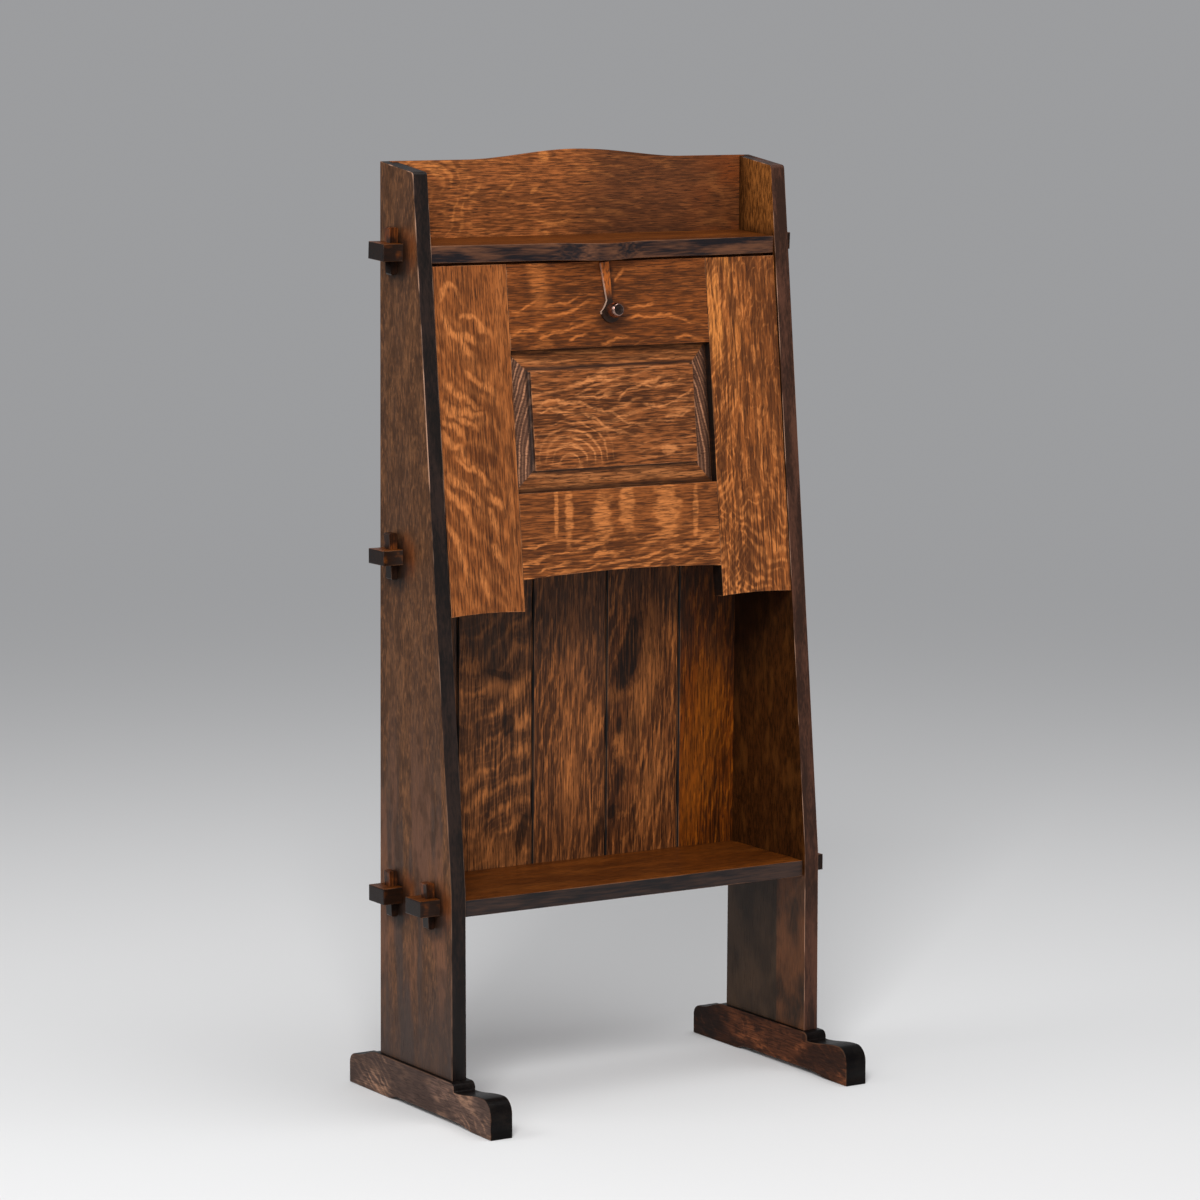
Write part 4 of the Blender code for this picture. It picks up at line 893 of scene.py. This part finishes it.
KNOB_SHADOW = ((0.006, 0.306), (0.026, 0.020))
ARM_SHADOW = ((0.0, 0.345), (0.0090, 0.034))
ARCS_AT = (0.06, -0.06)
ARC_SPACING = 0.0195
PLAIN_SIDE = (0.02, 0.06)
PLAIN_UP = (0.322, 0.345)
wood = Oak("top_rail_oak", "XZY", RAIL_TONES, 23.0, fibres=36.0, **on_fall)
arcs = wood.rings(ARCS_AT, ARC_SPACING, 5.0, (8.0, 15.0, 3.0))
plain_corner = wood.step(wood.u, *PLAIN_SIDE) * wood.step(wood.v, *PLAIN_UP)
arcs = wood.flakes(arcs, 0.13, 1.9, (11.0, 20.0, 3.0), 0.26, 2.0, 0.3)
wood.show(arcs * (1.0 - plain_corner * 0.75), 0.34)
wood.show(wood.strokes(wood.u, wood.v, RAIL_RAYS, RAIL_RAY_HALF, RAIL_RAY_WAVER), 0.80)
wood.show(wood.spot(*RAIL_BAR, 0.05, 0.3, 2.0, 0.7), 0.52)
# Painted shadow of the knob and of the arm on the rail.
wood.tint(wood.spot(*KNOB_SHADOW, 0.0, 0.35, 4.0) * 0.55, LATCH_SHADOW)
wood.tint(wood.spot(*ARM_SHADOW, 0.0, 0.25, 6.0) * 0.70, LATCH_SHADOW)
hang("top_rail", wood)

RAY_BARS = (
    (-0.092, 0.003), (-0.074, 0.006), (-0.026, 0.014), (0.010, 0.010), (0.068, 0.018), (0.110, 0.004),
)
BAR_HALF = 0.032
BAR_UP = 0.074
BAR_STAGGER = 0.008
BELOW_BARS = (0.028, 0.052)
SPECKLE_SPACING = 0.012
RISING_SPACING = 0.026
RIGHT_PART = (0.0, 0.06)
wood = Oak("bottom_rail_oak", "XZY", FALL_TONES, 24.0, 1.15, fibres=36.0, **on_fall)
for index, (across, half) in enumerate(RAY_BARS):
    up = BAR_UP - BAR_STAGGER * (index % 3)
    wood.show(wood.spot((across, up), (half, BAR_HALF), -0.05, 0.45, index * 1.3, 0.36), 0.92)
speckle = (wood.v - wood.u * 0.12) / SPECKLE_SPACING + wood.noise((20.0, 34.0, 3.0), 2.0, 3.0) * 2.6
below_bars = 1.0 - wood.step(wood.v, *BELOW_BARS)
wood.show(wood.flakes(speckle, 0.20, 1.8, (20.0, 44.0, 3.0), 0.24, 4.0, 0.4) * below_bars, 0.85)
rising = (wood.v - wood.u * 0.42) / RISING_SPACING + wood.noise((10.0, 16.0, 3.0), 2.0, 7.0) * 1.4
right_part = wood.step(wood.u, *RIGHT_PART) * below_bars
wood.show(wood.flakes(rising, 0.20, 1.4, (16.0, 30.0, 3.0), 0.24, 8.0, 0.4) * right_part, 0.8)
hang("bottom_rail", wood)


# Raised panel: one board held loose in the frame's grooves, with sloped margins and a square step up to the
# flat field. Across the grain the margins took the stain dark, and soil with painted shade darkens the panel
# along the frame and at the foot of the step.
PANEL_ARRIS = 0.0006
PANEL_HALF = 0.14405
PANEL_LOW = 0.097
PANEL_HIGH = 0.272
MARGIN = 0.0265
TILTED = 0.05


def end_margin(face):
    """Whether a face is a margin at the panel's left or right."""
    return abs((unlean @ face.normal).x) > TILTED


def level_margin(face):
    """Whether a face is a margin at the panel's top or bottom."""
    return abs((unlean @ face.normal).z) > TILTED


PANEL_TONES = (srgb(70, 36, 14), srgb(144, 82, 40), srgb(202, 127, 72))
END_DARK = srgb(82, 53, 39)
END_FAINT = srgb(140, 98, 72)
END_STREAK = srgb(190, 132, 96)
LEVEL_WARM = srgb(146, 86, 42)
BORDER_DIRT_AND_SHADE = srgb(26, 18, 15)
STEP_DIRT_AND_SHADE = srgb(24, 17, 15)
RING_AT = (-0.070, 0.126)
RING_SPACING = 0.0112
RING_INNER = (0.008, 0.016)
RING_OUTER = (0.050, 0.076)
RING_SIDE = (-0.030, 0.012)
RING_UP = (0.124, 0.138)
LINE_SPACING = 0.0115
END_GRAIN_SPACING = 0.0095
END_GRAIN_AT = 0.105
BORDER_FADE = (0.0015, 0.0080)
STEP_FADE = (0.0006, 0.0038)
STEP_IN = 0.0012
PALE_PATCH = ((0.077, 0.140), (0.011, 0.006))
PANEL_RAY_HALF = 0.0019
PANEL_RAY_WAVER = 0.022
PANEL_RAYS = (
    (-0.1129, 0.1918, 0.31, -6.5, 0.0585),
    (-0.0478, 0.1945, -0.82, 5.0, 0.0901), (-0.0442, 0.2019, -0.46, 1.1, 0.0965),
    (-0.1129, 0.2010, 0.25, -3.7, 0.0965), (-0.0561, 0.2115, -0.11, 3.1, 0.0603),
    (0.0051, 0.2036, 0.54, -2.1, 0.0770), (-0.0565, 0.2286, -0.02, 1.6, 0.0812),
    (0.0915, 0.2033, 0.35, 0.0, 0.0265), (0.0415, 0.2001, -0.31, 5.3, 0.0645),
    (0.0722, 0.1792, 0.02, 3.7, 0.0425), (0.0395, 0.2200, -0.13, 3.9, 0.0682),
)
wood = Oak("raised_panel_oak", "XZY", PANEL_TONES, 25.0, 1.3, fibres=40.0, **on_fall)
rings = wood.rings(RING_AT, RING_SPACING, 2.6, (18.0, 24.0, 3.0))
from_ring = wood.rings(RING_AT, 1.0, 0.0, (1.0, 1.0, 1.0))
near = wood.step(from_ring, *RING_INNER) * (1.0 - wood.step(from_ring, *RING_OUTER))
near = near * (0.28 + wood.step(wood.u - RING_AT[0], *RING_SIDE) * 0.72) * wood.step(wood.v, *RING_UP)
ends = wood.mark("ends")
levels = wood.mark("levels")
field = 1.0 - ends.most(levels)
wood.show(wood.flakes(rings, 0.28, 1.3, (20.0, 28.0, 3.0), 0.24, 0.0, 0.35) * near * field, 0.92)
lines = (wood.v - wood.u * 0.18) / LINE_SPACING + wood.noise((7.0, 15.0, 3.0), 2.0, 2.0) * 5.0
wood.show(wood.flakes(lines, 0.12, 1.9, (16.0, 34.0, 3.0), 0.22, 5.0, 0.4) * field, 0.48)
wood.show(wood.strokes(wood.u, wood.v, PANEL_RAYS, PANEL_RAY_HALF, PANEL_RAY_WAVER) * field, 0.85)
wood.show(wood.spot(*PALE_PATCH, 0.2, 0.5, 3.0), 0.8)
up = wood.v - END_GRAIN_AT
bowed = (wood.u.size() + up * up * 1.6) / END_GRAIN_SPACING
bowed = bowed + wood.noise((26.0, 10.0, 10.0), 2.0, 3.3) * 1.6
streaked = wood.flakes(bowed, 0.12, 0.9, (40.0, 14.0, 10.0), 0.20, 1.0, 0.2)
faint = wood.flakes(bowed * 2.0, 0.30, 1.2, (60.0, 18.0, 10.0), 0.40, 2.0, 0.3)
ended = wood.mix(faint * 0.55, END_DARK, END_FAINT)
wood.tint(ends, wood.mix(streaked * 0.75, ended, END_STREAK))
wood.tint(levels * 0.25, LEVEL_WARM)
wood.show(levels * wood.patches((12.0, 170.0, 20.0), 0.47, 0.58, 12.0), 0.55)
wood.tint(levels * wood.patches((14.0, 210.0, 20.0), 0.52, 0.60, 14.0) * 0.55, wood.dark)
from_side = PANEL_HALF - wood.u.size()
from_level = (PANEL_HIGH - PANEL_LOW) / 2 - (wood.v - (PANEL_LOW + PANEL_HIGH) / 2).size()
inset = from_side.least(from_level)
# Soil and painted shade along the frame and at the foot of the step.
border = 1.0 - wood.step(inset, *BORDER_FADE)
foot_of_step = 1.0 - wood.step((inset - (MARGIN - STEP_IN)).size(), *STEP_FADE)
wood.tint(border * 0.75, BORDER_DIRT_AND_SHADE)
wood.tint(foot_of_step * ends.most(levels) * 0.8, STEP_DIRT_AND_SHADE)
panel_finish = fall_wax(wood, (1.0 - ends) * FALL_DASHES)
dress("raised_panel", "fall", panel_finish, PANEL_ARRIS, crisp, (
    ("ends", end_margin), ("levels", level_margin),
))


# Turn latch: a flat metal arm and plate under a brown patina, the upper arm painted bright golden as a reflection
# of the wood, its edges worked bright with a file and painted brighter where they face up, as a highlight, and a
# turned and lacquered knob whose rim is eased and whose face is dished, dull and dark, partly a painted dark
# reflection. A spindle through the top rail carries both, held by a nut inside the fall.
latch_at = Vector(latch_joint["pos_m"])
LATCH_UP = (latch_at - Vector(fall_joint["pos_m"])).length
ARM_LIT = srgb(196, 104, 38)
PLATE_DARK = srgb(46, 29, 20)
FILED_GLINT = srgb(240, 206, 182)
PLATE_ARRIS = 0.0005
ARM_LIT_FADE = (LATCH_UP + 0.012, LATCH_UP + 0.032)
ARM_DULL_FADE = (LATCH_UP + 0.026, LATCH_UP + 0.042)


def lit_filed_edge(face):
    """Whether a face is an edge of the plate, worked bright with a file, that faces up and takes a painted
    highlight.
    """
    return abs((unlean @ face.normal).y) < 0.5 and face.normal.z > -0.25


patina = Finish("brown_patina")
patina.lay("ZXY", seed=31.0, **on_fall)
mottle = patina.noise((150.0, 420.0, 420.0), 3.0)
# The upper arm is painted bright as a reflection; the plate below it is dark.
up_arm = patina.step(patina.u + (mottle - 0.5) * 0.014, *ARM_LIT_FADE)
skin = patina.mix(up_arm, PLATE_DARK, ARM_LIT)
skin = patina.mix(patina.step(mottle, 0.46, 0.66) * 0.75, skin, PLATE_DARK)
# Bright edges with a painted highlight where they face up, dimmer up the arm.
filed_glint = patina.mark("filed_glint").most(patina.mark("arris") * 0.5)
filed_glint = filed_glint * (1.0 - patina.step(patina.u, *ARM_DULL_FADE) * 0.55)
patina.feed(patina.surface, {
    "Base Color": patina.mix(filed_glint * 0.9, skin, FILED_GLINT),
    "Roughness": 0.36 + mottle * 0.12 - filed_glint * 0.10,
    "Metallic": 0.45,
})
dress(
    "latch_plate", "latch", patina.material, PLATE_ARRIS, crisp, (("filed_glint", lit_filed_edge),), made_of="bronze",
)

KNOB_SIDES = 72
KNOB_STEPS = 26
KNOB_BASE = 0.71
KNOB_FACE = 0.69
KNOB_RIM = 0.0015
KNOB_RIM_STEPS = 5
KNOB_DISH = 0.0007
DISH_PROFILE = ((0.78, 0.0), (0.71, 0.35), (0.62, 0.75), (0.46, 0.92), (0.25, 1.0), (0.0, 1.0))
DISH_EDGE = 0.86
DISH_FROM = 0.9
RIM_BAND = 0.01
HOLE_CLEARANCE = 0.0002
HOLE_DEPTH = 0.48
LACQUER_DARK = srgb(126, 92, 80)
LACQUER_PALE = srgb(176, 140, 124)
DISH_DARK = srgb(32, 29, 29)
outs = [(vertex.co - latch_at).dot(latch_out) for vertex in frame["nodes"]["latch_knob"].data.vertices]
knob_low, knob_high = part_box("latch_knob")
spindle_low, spindle_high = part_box("latch_spindle")
knob_radius = (knob_high[0] - knob_low[0]) / 2
hole_radius = (spindle_high[0] - spindle_low[0]) / 2 + HOLE_CLEARANCE
knob_back, knob_front = min(outs), max(outs)
knob_long = knob_front - knob_back
swell_start = math.asin(KNOB_BASE)
swell_end = math.pi - math.asin(KNOB_FACE)
turned = [(0.0, HOLE_DEPTH), (hole_radius, HOLE_DEPTH), (hole_radius, 0.0)]
for step in range(KNOB_STEPS + 1):
    swell = swell_start + (swell_end - swell_start) * step / KNOB_STEPS
    along = (math.cos(swell_start) - math.cos(swell)) / (math.cos(swell_start) - math.cos(swell_end))
    turned.append((knob_radius * math.sin(swell), along))
for share, deep in DISH_PROFILE:
    turned.append((knob_radius * KNOB_FACE * share, 1.0 - KNOB_DISH * deep / knob_long))
knob = bmesh.new()
corners = [knob.verts.new((radius, 0.0, knob_back + along * knob_long)) for radius, along in turned]
for first, second in zip(corners, corners[1:]):
    knob.edges.new((first, second))
bmesh.ops.spin(
    knob, geom=knob.verts[:] + knob.edges[:], axis=(0.0, 0.0, 1.0), cent=(0.0, 0.0, 0.0), angle=math.tau,
    steps=KNOB_SIDES, use_merge=True,
)
bmesh.ops.remove_doubles(knob, verts=knob.verts, dist=MERGE)
bmesh.ops.recalc_face_normals(knob, faces=knob.faces)
rim_inside = (KNOB_FACE - RIM_BAND) * knob_radius
rim = [
    edge for edge in knob.edges
    if all(abs(v.co.z - knob_front) < MERGE and math.hypot(*v.co.xy) > rim_inside for v in edge.verts)
]
ease(knob, rim, KNOB_RIM, KNOB_RIM_STEPS)
dished = knob.faces.layers.float.new("dish")
for face in knob.faces:
    middle = face.calc_center_median()
    in_face = math.hypot(middle.x, middle.y) < knob_radius * KNOB_FACE * DISH_EDGE
    face[dished] = 1.0 if in_face and middle.z > knob_back + DISH_FROM * knob_long else 0.0
onto_fall = Vector((0.0, 0.0, 1.0)).rotation_difference(latch_out).to_matrix().to_4x4()
bmesh.ops.transform(knob, matrix=Matrix.Translation(latch_at) @ onto_fall, verts=knob.verts)

polish = Finish("lacquered_bronze")
polish.lay("XYZ", seed=33.0)
mottle = polish.noise((300.0, 300.0, 300.0), 3.0)
shine = polish.mix(polish.step(mottle, 0.40, 0.66), LACQUER_DARK, LACQUER_PALE)
# The dish is dark and dull, partly its own finish and partly a painted dark reflection.
in_dish = polish.mark("dish")
polish.feed(polish.surface, {
    "Base Color": polish.mix(in_dish * 0.9, shine, DISH_DARK),
    "Roughness": 0.14 + mottle * 0.08 + in_dish * 0.36,
    "Metallic": 1.0,
    "Coat Weight": 1.0 - in_dish,
    "Coat Roughness": 0.06,
})
add_piece("latch_knob_bronze", knob, "latch", "latch_knob", polish.material)


# Fixings: the latch's spindle and nut, the two pins that the fall turns on and the nails of the back. All are
# plain turned or drawn steel gone dull, so the frame's own pieces stay and only take this finish.
STEEL_DARK = srgb(78, 70, 64)
STEEL_PALE = srgb(142, 136, 130)
steel = Finish("dull_steel")
steel.lay("XYZ", seed=35.0)
mottle = steel.noise((420.0, 420.0, 420.0), 4.0)
steel.feed(steel.surface, {
    "Base Color": steel.mix(steel.step(mottle, 0.38, 0.66), STEEL_DARK, STEEL_PALE),
    "Roughness": 0.34 + mottle * 0.2,
    "Metallic": 1.0,
})
for node, piece in frame["nodes"].items():
    if slot_of[node] in ("steel", "dark_iron") and node != "latch_plate":
        piece.data.materials.clear()
        piece.data.materials.append(steel.material)
